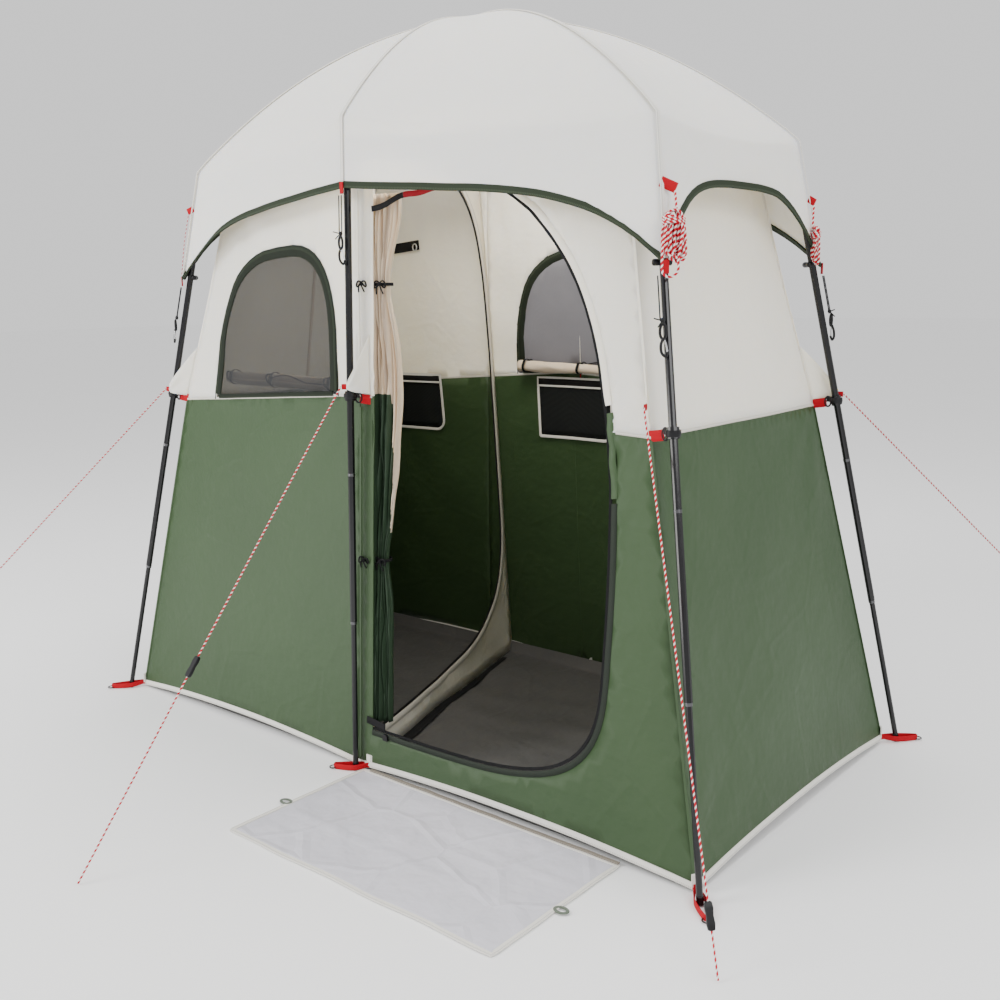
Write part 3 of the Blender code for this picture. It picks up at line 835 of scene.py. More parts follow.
def wall_tape(name, side, outline, width, thickness, mat, slot, lift=0.001):
    """A tape laid on a wall along an outline in s and z."""
    points, outs = [], []
    for s, z in outline:
        here, out = surface_frame(PLACES[side], s, z)
        points.append(here + out * lift)
        outs.append(out)
    return lay_strap(name, points, outs, width, thickness, mat, "root", slot)


def make_wall_trim():
    """Hem bindings, waist seams and the upright seams at the corners and legs."""
    def waist_tape(name, seam):
        wall_tape(name, side, seam, 0.006, 0.0024, "cream_tape", "cream", 0.0)
    for side in PLACES:
        end = side.startswith("end")
        for i, (low, high) in enumerate([(-1, 1)] if end else [(-1, 0), (0, 1)]):
            hem_line = [(s, hem(s, low, high) + 0.004) for s in line(40, low, high)]
            away = -0.0040 if side == "back" else 0.0
            wall_tape(f"hem_{side}_{i}", side, hem_line, 0.016, 0.0042, "white_binding", "cream", away)
            seam = [(s, waist(s, end)) for s in line(40, low, high)]
            if side == "front" and low == 0:
                door = to_wall(door_hole())
                seam = [p for p in seam if not inside(*p, door)]
                waist_tape("waist_front_by_door", [p for p in seam if p[0] < 0.3])
                seam = [p for p in seam if p[0] >= 0.3]
            waist_tape(f"waist_{side}_{i}", seam)
    middle_seam = [(0.17, z) for z in line(30, 0.03, 1.58)]
    wall_tape("seam_end_left_middle", "end_left", middle_seam, 0.010, 0.0020, "tan", "cream", -0.0038)
    labels = {-1: "left", 0: "middle", 1: "right"}
    for side, s in ((side, s) for side in SIDES for s in labels):
        corner = [(s * 0.9995, z) for z in line(50, 0.03, 1.58)]
        lower = [p for p in corner if p[1] < waist(s, False)]
        over_window = 1.375 if side == "back" and s == 0 else 0.0
        upper = [p for p in corner if p[1] >= max(waist(s, False), over_window)]
        for part, seam, mat in (("lower", lower, "green"), ("upper", upper, "cream")):
            wall_tape(f"seam_{side}_{labels[s]}_{part}", side, seam, 0.007, 0.003, mat, mat, 0.0)


def make_doorway():
    """Zip, dark facing below, edges of the cut above and at the left, the gathered door's foot strap."""
    wall_tape("door_zip_tape", "front", to_wall(door_line(-0.001)), 0.008, 0.0026, "zip", "plastic", -0.002)
    low_part = [p for p in to_wall(door_line(0.010, 60)) if p[1] < FACING_TOP]
    wall_tape("door_facing", "front", low_part, 0.015, 0.0026, "facing", "green", 0.0004)
    outer = [p for p in to_wall(door_line(0.0095, 90)) if p[0] > 0.3]
    sill, top = DOOR_SIZE[2] - DOOR_CUT, DOOR_SIZE[3]
    for part, low, high, mat in (("lower", sill, WAIST_MID, "green"), ("upper", WAIST_MID, top, "cream")):
        edge = to_wall([(DOOR_LEFT - 0.003, z) for z in line(24, low, high)])
        wall_tape(f"door_left_edge_{part}", "front", edge, 0.010, 0.0030, mat, mat, 0.0)
        rim = [p for p in outer if max(low, FACING_TOP - 0.02) < p[1] <= high]
        wall_tape(f"door_rim_{part}", "front", rim, 0.017, 0.0026, mat, mat, 0.0)
    foot = [Vector((x, -wall_y(x, 0.142) - 0.004 - 0.004 * math.sin(9 * x), 0.142 - 0.10 * (x - 0.03)))
            for x in line(8, 0.030, 0.098)]
    lay_strap("door_foot_strap", foot, FRONT, 0.020, 0.0026, "black_web", "door_curtain", "plastic")


# ---- Windows ------------------------------------------------------------------------------------
def make_window(side):
    # The back window takes the netting copy whose paler grey is painted backlight.
    net = panel(f"net_{side}", to_wall(window_outline(WINDOWS[side], 0.006)), [], PLACES[side],
                "net" if side == "front" else "net_back", 0.05)
    finish_cloth(net, "stretched", "root", "net", [f"window_net_{side}"], NET_CLOTH,
                 rests_on=[f"window_binding_{side}"])
    middle, half = WINDOWS[side], WINDOW_HALF - 0.011
    sill = to_wall([(x, waist(x / WAIST_HALF, False) + 0.006)
                    for x in line(24, middle - half, middle + half)])
    for part, outline, width, thickness, mat in (
            ("binding", window_arch(side, -0.005), 0.029, 0.0042, "window_binding"),
            ("piping", window_arch(side, 0.009), 0.004, 0.0030, "facing"),
            ("sill", sill, 0.012, 0.0036, "window_binding")):
        wall_tape(f"window_{part}_{side}", side, outline, width, thickness, mat, "green")


def make_flap(label):
    """Window cover rolled up on the sill inside the net, held by elastic loops."""
    low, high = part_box(f"window_flap_{label}")
    sy = SIDES[label]
    z = 0.5 * (low[2] + high[2]) - 0.002
    turns, steps, inner, outer = 4, 88, 0.005, 0.0205
    span = high[0] - low[0]
    ties = (0.05, 0.44, 0.95)

    def core(x, sag=0.0):
        """How thick the roll is at x, and its middle: the back one tapers."""
        slim = 1 - 0.42 * (x - low[0]) / span if label == "back" else 1.0
        return slim, Vector((x, sy * (wall_y(x, z) - 0.029), z - sag * 0.5 - outer * (1 - slim)))
    rows = []
    for x in line(56, low[0] + 0.002, high[0] - 0.002):
        u = (x - low[0]) / span
        pinch = sum(math.exp(-((u - t) / 0.035) ** 2) for t in ties)
        slim, centre = core(x, 0.004 * math.sin(2 * math.pi * u) ** 2)
        row = []
        for j in range(steps + 1):
            a = 2 * math.pi * turns * j / steps
            r = inner + (outer - inner) * j / steps
            crumple = noise.noise(Vector((x * 16, math.cos(a) * 1.3, math.sin(a) * 1.3)))
            crumple += 0.5 * noise.noise(Vector((x * 45, math.cos(a) * 2.5, math.sin(a) * 2.5)))
            r *= slim * (1 + 0.16 * crumple * (j / steps)) * (1 - 0.16 * pinch)
            row.append(centre + Vector((0.004 * crumple, sy * r * math.cos(a), r * math.sin(a))))
        rows.append(row)
    flap = grid(f"rolled_flap_{label}", rows, "tan")
    finish_cloth(flap, "folded", f"flap_{label}", "tan", [f"window_flap_{label}"], NET_CLOTH,
                 flat=(span, math.pi * turns * (inner + outer)), rests_on=[f"window_sill_{label}"])
    parts = []
    for i, u in enumerate(ties):
        slim, centre = core(low[0] + span * u)
        hold = slim * 0.0212
        ring = [centre + Vector((0.0015 * math.sin(3 * a), hold * math.cos(a), hold * math.sin(a)))
                for a in line(24, 0, 2 * math.pi)]
        parts.append(strap(f"tie_{i}", ring, [p - centre for p in ring], 0.009, 0.0016, "black_web"))
        eye = centre + Vector((0, sy * 0.0235, 0.006))
        parts.append(tube(f"eye_{i}", loop_path(eye, RIGHT, UP, 0.022, 0.024), 0.0022, "plastic", count=6))
    points = []
    for u in line(12, ties[1], ties[2]):
        x = low[0] + span * u
        hump = 0.022 * math.sin(math.pi * (u - ties[1]) / 0.30) if u < ties[1] + 0.30 else -0.006
        points.append((x, sy * (wall_y(x, z) - 0.0055), z + 0.004 + hump * 0.6))
    parts.append(tube("elastic", smooth_curve(points, 4), 0.0016, "plastic", count=6))
    finish_piece(join(f"flap_ties_{label}", parts), f"flap_{label}", "plastic")


# ---- Canopy -------------------------------------------------------------------------------------
def canopy_knee(which):
    """Where the canopy bends over the frame's corner at a leg."""
    return beside_leg(which, KNEE_Z if LEGS[which][0] else MID_KNEE_Z) + UP * 0.008


def edge_height(first, second, u):
    """Height of the canopy's edge: arched over the ends, highest at the middle legs along the sides."""
    ends = [LEGS[first][0], LEGS[second][0]]
    if 0 in ends:
        from_mid = u if ends[0] == 0 else 1 - u
        drop = 0.3 * from_mid + 0.7 * from_mid ** 6
        return TIP_Z + (MID_TIP_Z - TIP_Z) * (1 - drop)
    return TIP_Z + (END_EDGE_Z - TIP_Z) * (1 - abs(2 * u - 1) ** 4)


def canopy_column(first, second, u):
    """Eave and hem points of the canopy, part way round one side."""
    eave = canopy_knee(first).lerp(canopy_knee(second), u)
    z = edge_height(first, second, u)
    eave.z -= 0.020 * 4 * u * (1 - u)
    return eave, beside_leg(first, z).lerp(beside_leg(second, z), u)


def canopy_point(first, second, u, t):
    """t runs from 0 at the hub to 1 at the eave and 2 at the hem."""
    eave, edge = canopy_column(first, second, u)
    top = HUB_Z + CANOPY_GAP
    if t <= 1:
        here = Vector((eave.x * t, eave.y * t, eave.z + (top - eave.z) * (1 - t * t)))
    else:
        here = eave.lerp(edge, t - 1)
    belly = 4 * u * (1 - u)
    out = (Vector((here.x, here.y, 0)).normalized() * 0.6 + UP * 0.4)
    crease = 0.0050 * noise.noise(Vector((here.x * 4, here.y * 7, here.z * 5)))
    crease += 0.0018 * noise.noise(Vector((here.x * 13, here.y * 17, here.z * 15)))
    sag = -0.010 * belly * min(1.0, 2.2 * t) * (1.0 if t <= 1 else max(0.0, 1.6 - t))
    folds = pulled(u, t, [(0.0, 2.0), (1.0, 2.0), (0.0, 1.0), (1.0, 1.0)]) * 0.0030
    return here + out * ((crease + folds) * min(1.0, 3 * belly) + sag)


def over_canopy(first, second, u):
    """Length of cloth from the hub down to the hem, part way round one side."""
    return path_length([canopy_point(first, second, u, t) for t in line(40, 0.0, 2.0)])


def make_canopy():
    names = list(LEGS)
    steps = 28
    ts = [0.03, 0.09] + line(12, 0.17, 0.89) + [0.95, 1.0, 1.05] + line(14, 1.12, 2.0)
    columns = []
    for first, second in zip(names, names[1:] + names[:1]):
        columns += [(first, second, i / steps) for i in range(steps)]
    verts = [Vector((0, 0, HUB_Z + CANOPY_GAP))]
    for t in ts:
        verts += [canopy_point(a, b, u, t) for a, b, u in columns]
    width = len(columns)
    faces = [(0, 1 + (j + 1) % width, 1 + j) for j in range(width)]
    for i in range(len(ts) - 1):
        for j in range(width):
            k = (j + 1) % width
            base = 1 + i * width
            faces.append((base + j, base + k, base + width + k, base + width + j))
    canopy = mesh_object("canopy_cloth", verts, faces, "canopy", smooth=70)
    flat = (2 * over_canopy("front_middle", "front_right", 0.0),
            2 * over_canopy("front_right", "back_right", 0.5))
    rafters = [f"rafter_{which}" for which in LEGS]
    declare_sheet(canopy, "stretched", flat, rafters)
    smooth = canopy.modifiers.new("round", "SUBSURF")
    smooth.levels = smooth.render_levels = 1
    finish_piece(thicken(canopy, 0.0014), "root", "cream", ["canopy"])
    rim = [canopy_point(a, b, u, 2.0) for a, b, u in columns]
    rim.append(rim[0])
    outs = [Vector((p.x, p.y, 0)).normalized() for p in rim]
    half = len(rim) // 2
    for label, low, high in (("front", 0, half + 1), ("back", half, len(rim))):
        lay_strap(f"canopy_binding_{label}", rim[low:high], outs[low:high], 0.017, 0.0046, "binding",
                  "root", "green")
    for first, second in zip(names, names[1:] + names[:1]):
        path = [canopy_point(first, second, 0.0, t) for t in line(40, 0.05, 1.97)]
        outs = []
        for i, p in enumerate(path):
            run = (path[min(i + 1, len(path) - 1)] - path[max(i - 1, 0)]).normalized()
            out = Vector((-p.y, p.x, 0)).normalized().cross(run)
            outs.append(out if out.dot(Vector((p.x, p.y, 0.3))) > 0 else -out)
        lifted = [p + o * 0.0012 for p, o in zip(path, outs)]
        lay_strap(f"canopy_seam_{first}", lifted, outs, 0.009, 0.0024, "white_binding", "root", "cream")


# ---- Frame details ------------------------------------------------------------------------------
def carry_over():
    """Materials for the CAD's own tubes and mouldings, which stay as they are."""
    for node, obj in frame["nodes"].items():
        if node.startswith(("leg_", "rafter")):
            mat = "steel"
        elif node.startswith(("elbow", "hub", "hook", "guy_runner", "door_zip")):
            mat = "plastic"
        else:
            continue
        obj.data.materials.clear()
        obj.data.materials.append(MATS[mat])


def make_section_rings():
    """Thin worn rings where the legs' sections meet."""
    for which in LEGS:
        for z, body, radius in ((0.402, f"leg_foot_{which}", 0.0082), (0.791, "root", 0.0094)):
            a, b = leg_point(which, z - 0.0035), leg_point(which, z + 0.0035)
            ring = tube(f"section_ring_{which}_{int(z * 1000)}", [a, a.lerp(b, 0.5), b], radius, "ring",
                        [0.985, 1.0, 0.985], 16)
            finish_piece(ring, body, "steel")


def bow(name, centre, side, out, size):
    """Elastic tied in a bow: two loops and two tails."""
    wings = [centre + side * (size * math.sin(a)) + UP * (0.42 * size * math.sin(2 * a))
             + out * (0.004 * math.cos(a)) for a in line(28, 0, 2 * math.pi)]
    parts = [tube(name, wings, 0.0020, "black_web", count=6)]
    for way in (-1, 1):
        tail = [centre, centre + side * (way * 0.35 * size) - UP * (0.4 * size) + out * 0.004,
                centre + side * (way * 0.6 * size) - UP * (1.2 * size)]
        parts.append(tube(name, smooth_curve(tail, 5), 0.0018, "black_web", count=6))
    knot = [centre + UP * d for d in (-0.004, 0.0, 0.004)]
    parts.append(tube(name, knot, 0.0052, "black_web", [0.7, 1, 0.7], 8))
    return join(name, parts)


def ear_root(which, z):
    """Where the wall's cloth leaves for a leg: a corner seam, or beside a middle leg."""
    sx, sy = LEGS[which]
    if sx == 0:
        return Vector((0.034, sy * wall_y(0.034, z), z))
    return Vector((sx * at_height(WALL_CORNER_X, z), sy * at_height(WALL_CORNER_Y, z), z))


def tied_point(which):
    """Where a guy line is tied; a leg with no line has the same loop as its mirror image."""
    if which in GUYS:
        return Vector(GUYS[which][0])
    sx, sy = LEGS[which]
    model = Vector(GUYS["back_right" if sx else "front_middle"][0])
    return Vector((abs(model.x) * (sx or -1), abs(model.y) * sy, model.z))


def make_ear(which):
    """Triangle of wall cloth that reaches round a leg to the guy line's loop."""
    sx, sy = LEGS[which]
    tied = tied_point(which)
    root = ear_root(which, tied.z)
    run = (tied - root).normalized()
    tip = tied - run * 0.014
    passing = 0.0 if which == "front_right" else (0.030 if sx else 0.022)
    bend = (leg_point(which, tied.z) if passing else root.lerp(tip, 0.5)) + Vector((0.0, sy * passing, 0.0))
    if sx == 0:
        bend.x = 0.018
    base_z = 0.946 if sx else 0.994
    rows = []
    for v in line(12, 0, 1):
        start = ear_root(which, base_z + 0.150 * v)
        end = tip + UP * (0.012 * (v - 0.5))
        turn = Vector((bend.x, bend.y, tied.z - 0.012 + 0.034 * v))
        row = [bezier(start, turn, end, u) for u in line(14, 0, 1)]
        rows.append([])
        for i, p in enumerate(row):
            slack = 0.0022 * math.sin(9 * v + 5 * i / 14) * math.sin(math.pi * i / 14)
            rows[-1].append(p + Vector((0, sy, 0)) * slack)
    ear = grid(f"waist_ear_{which}", rows, "cream")
    base = 0.155
    finish_cloth(ear, "stretched", "root", "cream", flat=(base, 2 * cut_area(ear) / base),
                 rests_on=[f"leg_upper_{which}"])
    flat = Vector((-run.y, run.x, 0)).normalized()
    tab = [tied - run * d for d in (0.022, 0.012, 0.002)]
    lay_strap(f"guy_loop_{which}", tab, flat, 0.014, 0.0024, "red_web", "root", "cord")


def make_waist_fittings(which):
    """Red webbing from the waist seam to a clip on the leg's collar."""
    sx, _ = LEGS[which]
    z = COLLAR_Z if sx else MID_COLLAR_Z
    start = ear_root(which, z - 0.012)
    axis = leg_point(which, z)
    run = Vector((axis.x - start.x, axis.y - start.y, 0)).normalized()
    flat = Vector((-run.y, run.x, 0))
    reach = (axis - start).length - 0.026
    path = [start - run * 0.004, start + run * (0.5 * reach) + UP * 0.003, start + run * reach + UP * 0.006]
    lay_strap(f"waist_strap_{which}", path, flat, 0.024, 0.0026, "red_web", "root", "cord")
    ring = loop_path(start + run * (reach + 0.004) + UP * 0.008, run, UP, 0.016, 0.026)
    parts = [tube("ring", ring, 0.0024, "plastic", count=8)]
    jaw = [axis + UP * d for d in (-0.007, 0.0, 0.007)]
    parts.append(tube("jaw", jaw, 0.0172, "plastic", [0.93, 1.0, 0.93], 20))
    nose = [axis - run * 0.015 + UP * 0.002, axis - run * 0.024 + UP * 0.002]
    parts.append(strap("nose", nose, flat, 0.014, 0.007, "plastic"))
    finish_piece(join(f"waist_clip_{which}", parts), "root", "plastic")


def make_foot_strap(which):
    """Loop of red webbing from the hem round the leg's foot, with a ring for a peg."""
    foot = leg_point(which, 0.0)
    start = ear_root(which, 0.02)
    run = Vector((foot.x - start.x, foot.y - start.y, 0)).normalized()
    side = run.cross(UP)
    near, far = foot + UP * 0.010, foot + run * 0.052 + UP * 0.008
    start.z = 0.016
    points = [start, near + side * 0.0125, far + side * 0.006, far + run * 0.006, far - side * 0.006,
              near - side * 0.0125, start + side * 0.003]
    path = smooth_curve(points, 6)
    outs = [Vector((p.x - near.x, p.y - near.y, 0)) for p in path]
    lay_strap(f"foot_strap_{which}", path, outs, 0.015, 0.0022, "red_web", "root", "cord")
    ring = loop_path(far + run * 0.010 - UP * 0.004, run, side, 0.020, 0.020)
    finish_piece(tube(f"foot_ring_{which}", ring, 0.0016, "plastic", count=8), "root", "plastic")
    patch = [start + UP * d for d in (0.0, 0.014, 0.028)]
    corner = Vector((start.x, start.y, 0)).normalized()
    lay_strap(f"corner_patch_{which}", patch, corner, 0.020, 0.0036, "white_binding", "root", "cream")


def make_tip_fittings(which):
    """At a canopy tip: toggle, red tab, elastic and the hook that catches the leg."""
    tip = TIP_Z if LEGS[which][0] else MID_TIP_Z
    out = outward(which)
    side = out.cross(UP)
    leg = leg_point(which, tip)
    edge = beside_leg(which, tip) + out * 0.004
    bar = [leg - out * 0.0125 + side * d + UP * 0.002
           for d in (-0.021, -0.019, -0.008, 0.0, 0.008, 0.019, 0.021)]
    toggle = tube(f"tip_toggle_{which}", bar, 0.0072, "plastic", [0.7, 1.0, 1.0, 0.6, 1.0, 1.0, 0.7], 12)
    finish_piece(toggle, "root", "plastic")
    drop = [edge + UP * 0.006, edge - UP * 0.006, edge - UP * 0.022]
    lay_strap(f"tip_tab_{which}", drop, out, 0.012, 0.0024, "red_web", "root", "cord")
    hook = f"canopy_hook_{which}"
    aside = 0.015 if which == "front_right" else 0.0

    def at(down, across=0.0, away=0.0):
        return leg_point(which, tip - down) + out * (HOOK_OUT + away) + side * (across + aside)
    strands = [at(d, -0.0045) for d in line(7, 0.026, 0.112)]
    strands += [at(0.1165, -0.003), at(0.118), at(0.1165, 0.003)]
    strands += [at(d, 0.0045) for d in line(7, 0.112, 0.026)]
    path = smooth_curve(strands, 3)
    elastic = tube(f"tip_elastic_{which}", path, 0.0015, "elastic", count=8)
    finish_piece(elastic, hook, "cord", [f"hook_{which}"])
    parts = [tube("knot", [at(d) for d in (0.112, 0.117, 0.122)], 0.0052, "plastic", [0.6, 1.0, 0.6], 10)]
    for way, low in ((1, 0.112), (0.6, 0.130)):
        tail = [at(0.117), at(0.5 * (0.117 + low), 0.010 * way, 0.004), at(low, 0.019 * way, 0.007)]
        parts.append(tube("tail", smooth_curve(tail, 4), 0.0014, "plastic", count=6))
    parts.append(tube("link", loop_path(at(0.139), side, UP, 0.013, 0.030), 0.0030, "plastic", count=8))
    jaw = [at(0.152), at(0.166, 0.006), at(0.182, 0.005, -0.002), at(0.190, -0.004, -0.005),
           at(0.180, -0.009, -0.006)]
    parts.append(tube("jaw", smooth_curve(jaw, 5), 0.0030, "plastic", count=8))
    gate = [at(0.156, -0.002), at(0.168, -0.006, -0.003), at(0.181, -0.008, -0.005)]
    parts.append(tube("gate", smooth_curve(gate, 4), 0.0020, "bright", count=8))
    finish_piece(join(f"tip_hook_{which}", parts), hook, "plastic", [f"hook_{which}"])
    declare_cord(path)


def ridge_point(which, z):
    """Point on the canopy's corner, below the eave."""
    knee = canopy_knee(which)
    return knee.lerp(beside_leg(which, TIP_Z), (knee.z - z) / (knee.z - TIP_Z))


def corner_tab(which):
    """Red tab sewn to the canopy's corner; returns the eye at its end."""
    sx, sy = LEGS[which]
    start = ridge_point(which, 1.500 if which == "front_left" else 1.462)
    run, reach, width = Vector((0.82 * sx, 0.35 * sy, -0.36)).normalized(), 0.020, 0.018
    if which == "front_right":
        run, reach, width = Vector((0.70, 0.55, -0.40)).normalized(), 0.034, 0.022
    if which == "back_right":
        run = Vector((0.78, -0.12, -0.45)).normalized()
    flat = run.cross(UP).normalized()
    path = [start - run * 0.002, start + run * 0.5 * reach, start + run * reach]
    lay_strap(f"canopy_tab_{which}", path, flat, width, 0.0026, "red_web", "root", "cord")
    return start + run * (reach - 0.003) - UP * 0.006


def make_spare_lead(which):
    """Thin cord from a canopy tab down to the tip."""
    eye = corner_tab(which)
    end = ridge_point(which, TIP_Z + 0.012) + outward(which) * 0.006
    middle = eye.lerp(end, 0.5) + outward(which) * 0.003
    path = smooth_curve([eye, middle, end], 14)
    lead = tube(f"canopy_lead_{which}", path, 0.0012, "cord", count=8)
    finish_piece(lead, "root", "cord")
    declare_cord(path)


# ---- Inside -------------------------------------------------------------------------------------
def divider_place(v, z):
    front = Vector((DIVIDER_FRONT_X, -wall_y(DIVIDER_FRONT_X, z) + 0.004, z))
    back = Vector((DIVIDER_BACK_X, wall_y(DIVIDER_BACK_X, z) - 0.004, z))
    fade = min(1.0, 5 * v, 5 * (1 - v))
    here = front.lerp(back, v)
    folds = ripple(here, fade, 0.012) + 0.004 * fade * pulled(v, z, [(1.0, 0.02), (0.5, 0.02), (1.0, 1.0)])
    return here + Vector((folds, 0, 0))


def make_divider():
    """Cloth between the two rooms, cut out so that only a strip is left."""
    def opening(grow=0.0):
        return d_outline(DIVIDER_LEFT, DIVIDER_SIZE, DIVIDER_POWERS, grow, 20)
    edge = DIVIDER_LEFT - 0.004
    _, _, sill, top = DIVIDER_SIZE
    hole = [(edge, sill)] + opening() + [(edge, top)]
    outline = [(v, 0.008) for v in line(12, 0, 1)] + [(1, z) for z in line(20, 0.05, 1.58)]
    outline += [(v, 1.62) for v in reversed(line(12, 0, 1))]
    outline += [(0, z) for z in reversed(line(20, 0.05, 1.58))]
    cloth = panel("divider_cloth", outline, [hole], divider_place, "inner", 0.04)
    finish_cloth(cloth, "hung", "root", "cream", ["divider"], rests_on=["canopy"])
    points = [divider_place(v, z) for v, z in opening()]
    out = Vector((0.93, 0.36, 0))
    lay_strap("divider_zip", points, out, 0.008, 0.003, "zip", "root", "plastic")
    points = [divider_place(v, z) + Vector((0.003, 0.001, 0)) for v, z in opening(0.014)]
    lay_strap("divider_binding", points, out, 0.022, 0.0022, "cream_tape", "root", "cream")
    # Painted shadow: a flat black strip on the floor along the divider's foot, widest at the front, stands
    # in for the shade under the hanging divider strip.
    foot = [divider_place(v, 0.010) + Vector((0.014, 0.004, 0)) for v in line(24, 0.03, 0.90)]
    sizes = [1.0 - 0.6 * i / len(foot) for i in range(len(foot))]
    shadow = sweep("divider_foot_painted_shadow", foot, tape(0.040, 0.0024), "black_web", UP, sizes)
    finish_piece(shadow, "root", "groundsheet")


def make_floor():
    """Groundsheet, turned up a little where it is sewn to the walls."""
    half_x, half_y = 1.008, 0.496

    def place(x, y):
        edge = min(half_x - abs(x), half_y - abs(y))
        fade = min(1.0, max(0.0, 14 * (edge - 0.02)))
        long_folds = noise.noise(Vector((x * 3.0, y * 14.0, 2.0)))
        cross = noise.noise(Vector((x * 9.0 + y * 5, y * 5.0, 8.0)))
        turned_up = 0.034 * max(0.0, 1 - edge / 0.022) ** 2
        folds = fade * (0.006 * long_folds + 0.003 * cross + 0.002)
        return Vector((x, y, 0.0035 + turned_up + folds))
    outline = [(-half_x, -half_y), (half_x, -half_y), (half_x, half_y), (-half_x, half_y)]
    floor = panel("floor_sheet", spread_points(outline, 40), [], place, "floor", 0.022)
    flat = (2 * half_x + 0.06, 2 * half_y + 0.06)
    finish_cloth(floor, "laid", "root", "groundsheet", ["floor"], 0.0016, flat=flat)


def spread_points(corners, count):
    """The corners' outline with count points on each side."""
    return [(x0 + (x1 - x0) * i / count, y0 + (y1 - y0) * i / count)
            for (x0, y0), (x1, y1) in zip(corners, corners[1:] + corners[:1]) for i in range(count)]


def make_pockets():
    """Net pouches on the back wall, with a pale trim and a black band along the top."""
    for label in ("left", "right"):
        low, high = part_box(f"pocket_{label}")

        def place(x, z):
            slack = 0.005 * math.sin(math.pi * (x - low[0]) / (high[0] - low[0]))
            slack = slack * (z - low[2]) / (high[2] - low[2])
            return Vector((x, wall_y(x, z) - 0.006 - max(0.0, slack), z))
        r = 0.035
        corner = [(high[0] - r + r * math.sin(a), low[2] + r - r * math.cos(a))
                  for a in line(6, 0, math.pi / 2)]
        outline = [(x, low[2]) for x in line(6, low[0], high[0] - r)][:-1] + corner
        outline += [(high[0], z) for z in line(4, low[2] + r, high[2])][1:]
        outline += [(x, high[2]) for x in reversed(line(8, low[0], high[0]))][1:]
        outline += [(low[0], z) for z in reversed(line(5, low[2], high[2]))][1:-1]
        pouch = panel(f"pocket_pouch_{label}", outline, [], place, "pocket", 0.03)
        finish_cloth(pouch, "stretched", "root", "net", [f"pocket_{label}"], 0.001,
                     rests_on=[f"wall_back_{label}_lower"])
        border = [place(x, z) + FRONT * 0.001 for x, z in outline + outline[:1]]
        band = [place(x, high[2] - 0.012) + FRONT * 0.003
                for x in line(10, low[0] + 0.004, high[0] - 0.004)]
        lip = [p - UP * 0.013 for p in band]
        for part, path, width, thickness, mat, slot in (
                ("trim", border, 0.009, 0.0026, "white_binding", "cream"),
                ("band", band, 0.020, 0.0020, "black_web", "net"),
                ("lip", lip, 0.006, 0.0026, "white_binding", "cream")):
            lay_strap(f"pocket_{part}_{label}", path, FRONT, width, thickness, mat, "root", slot)


def make_inner_straps():
    """Towel strap on the back wall and the strap across the top of the doorway."""
    towel = []
    for x in line(8, -0.660, -0.548):
        y = wall_y(x, 1.395) - 0.006 - 0.004 * math.sin(9 * (x + 0.66))
        towel.append(Vector((x, y, 1.395 + 0.10 * (x + 0.60))))
    lay_strap("towel_strap", towel, FRONT, 0.032, 0.0026, "black_web", "root", "plastic")
    eye = towel[-2] + FRONT * 0.004 - UP * 0.006
    ring = tube("towel_ring", loop_path(eye, RIGHT, UP, 0.018, 0.022), 0.0020, "bright", count=8)
    finish_piece(ring, "root", "steel")
    for name, low, high, mat, body in (("door_head_black", 0.046, 0.138, "black_web", "door_curtain"),
                                       ("door_head_red", 0.139, 0.250, "dark_red", "root")):
        path = []
        for x in line(12, low, high):
            z = 1.448 + 0.30 * (x - 0.050) - 1.1 * max(0.0, x - 0.11) ** 2 + 0.003 * math.sin(60 * x)
            path.append(Vector((x, -wall_y(x, z) - 0.0025, z)))
        lay_strap(name, path, FRONT, 0.014, 0.0022, mat, body, "plastic")


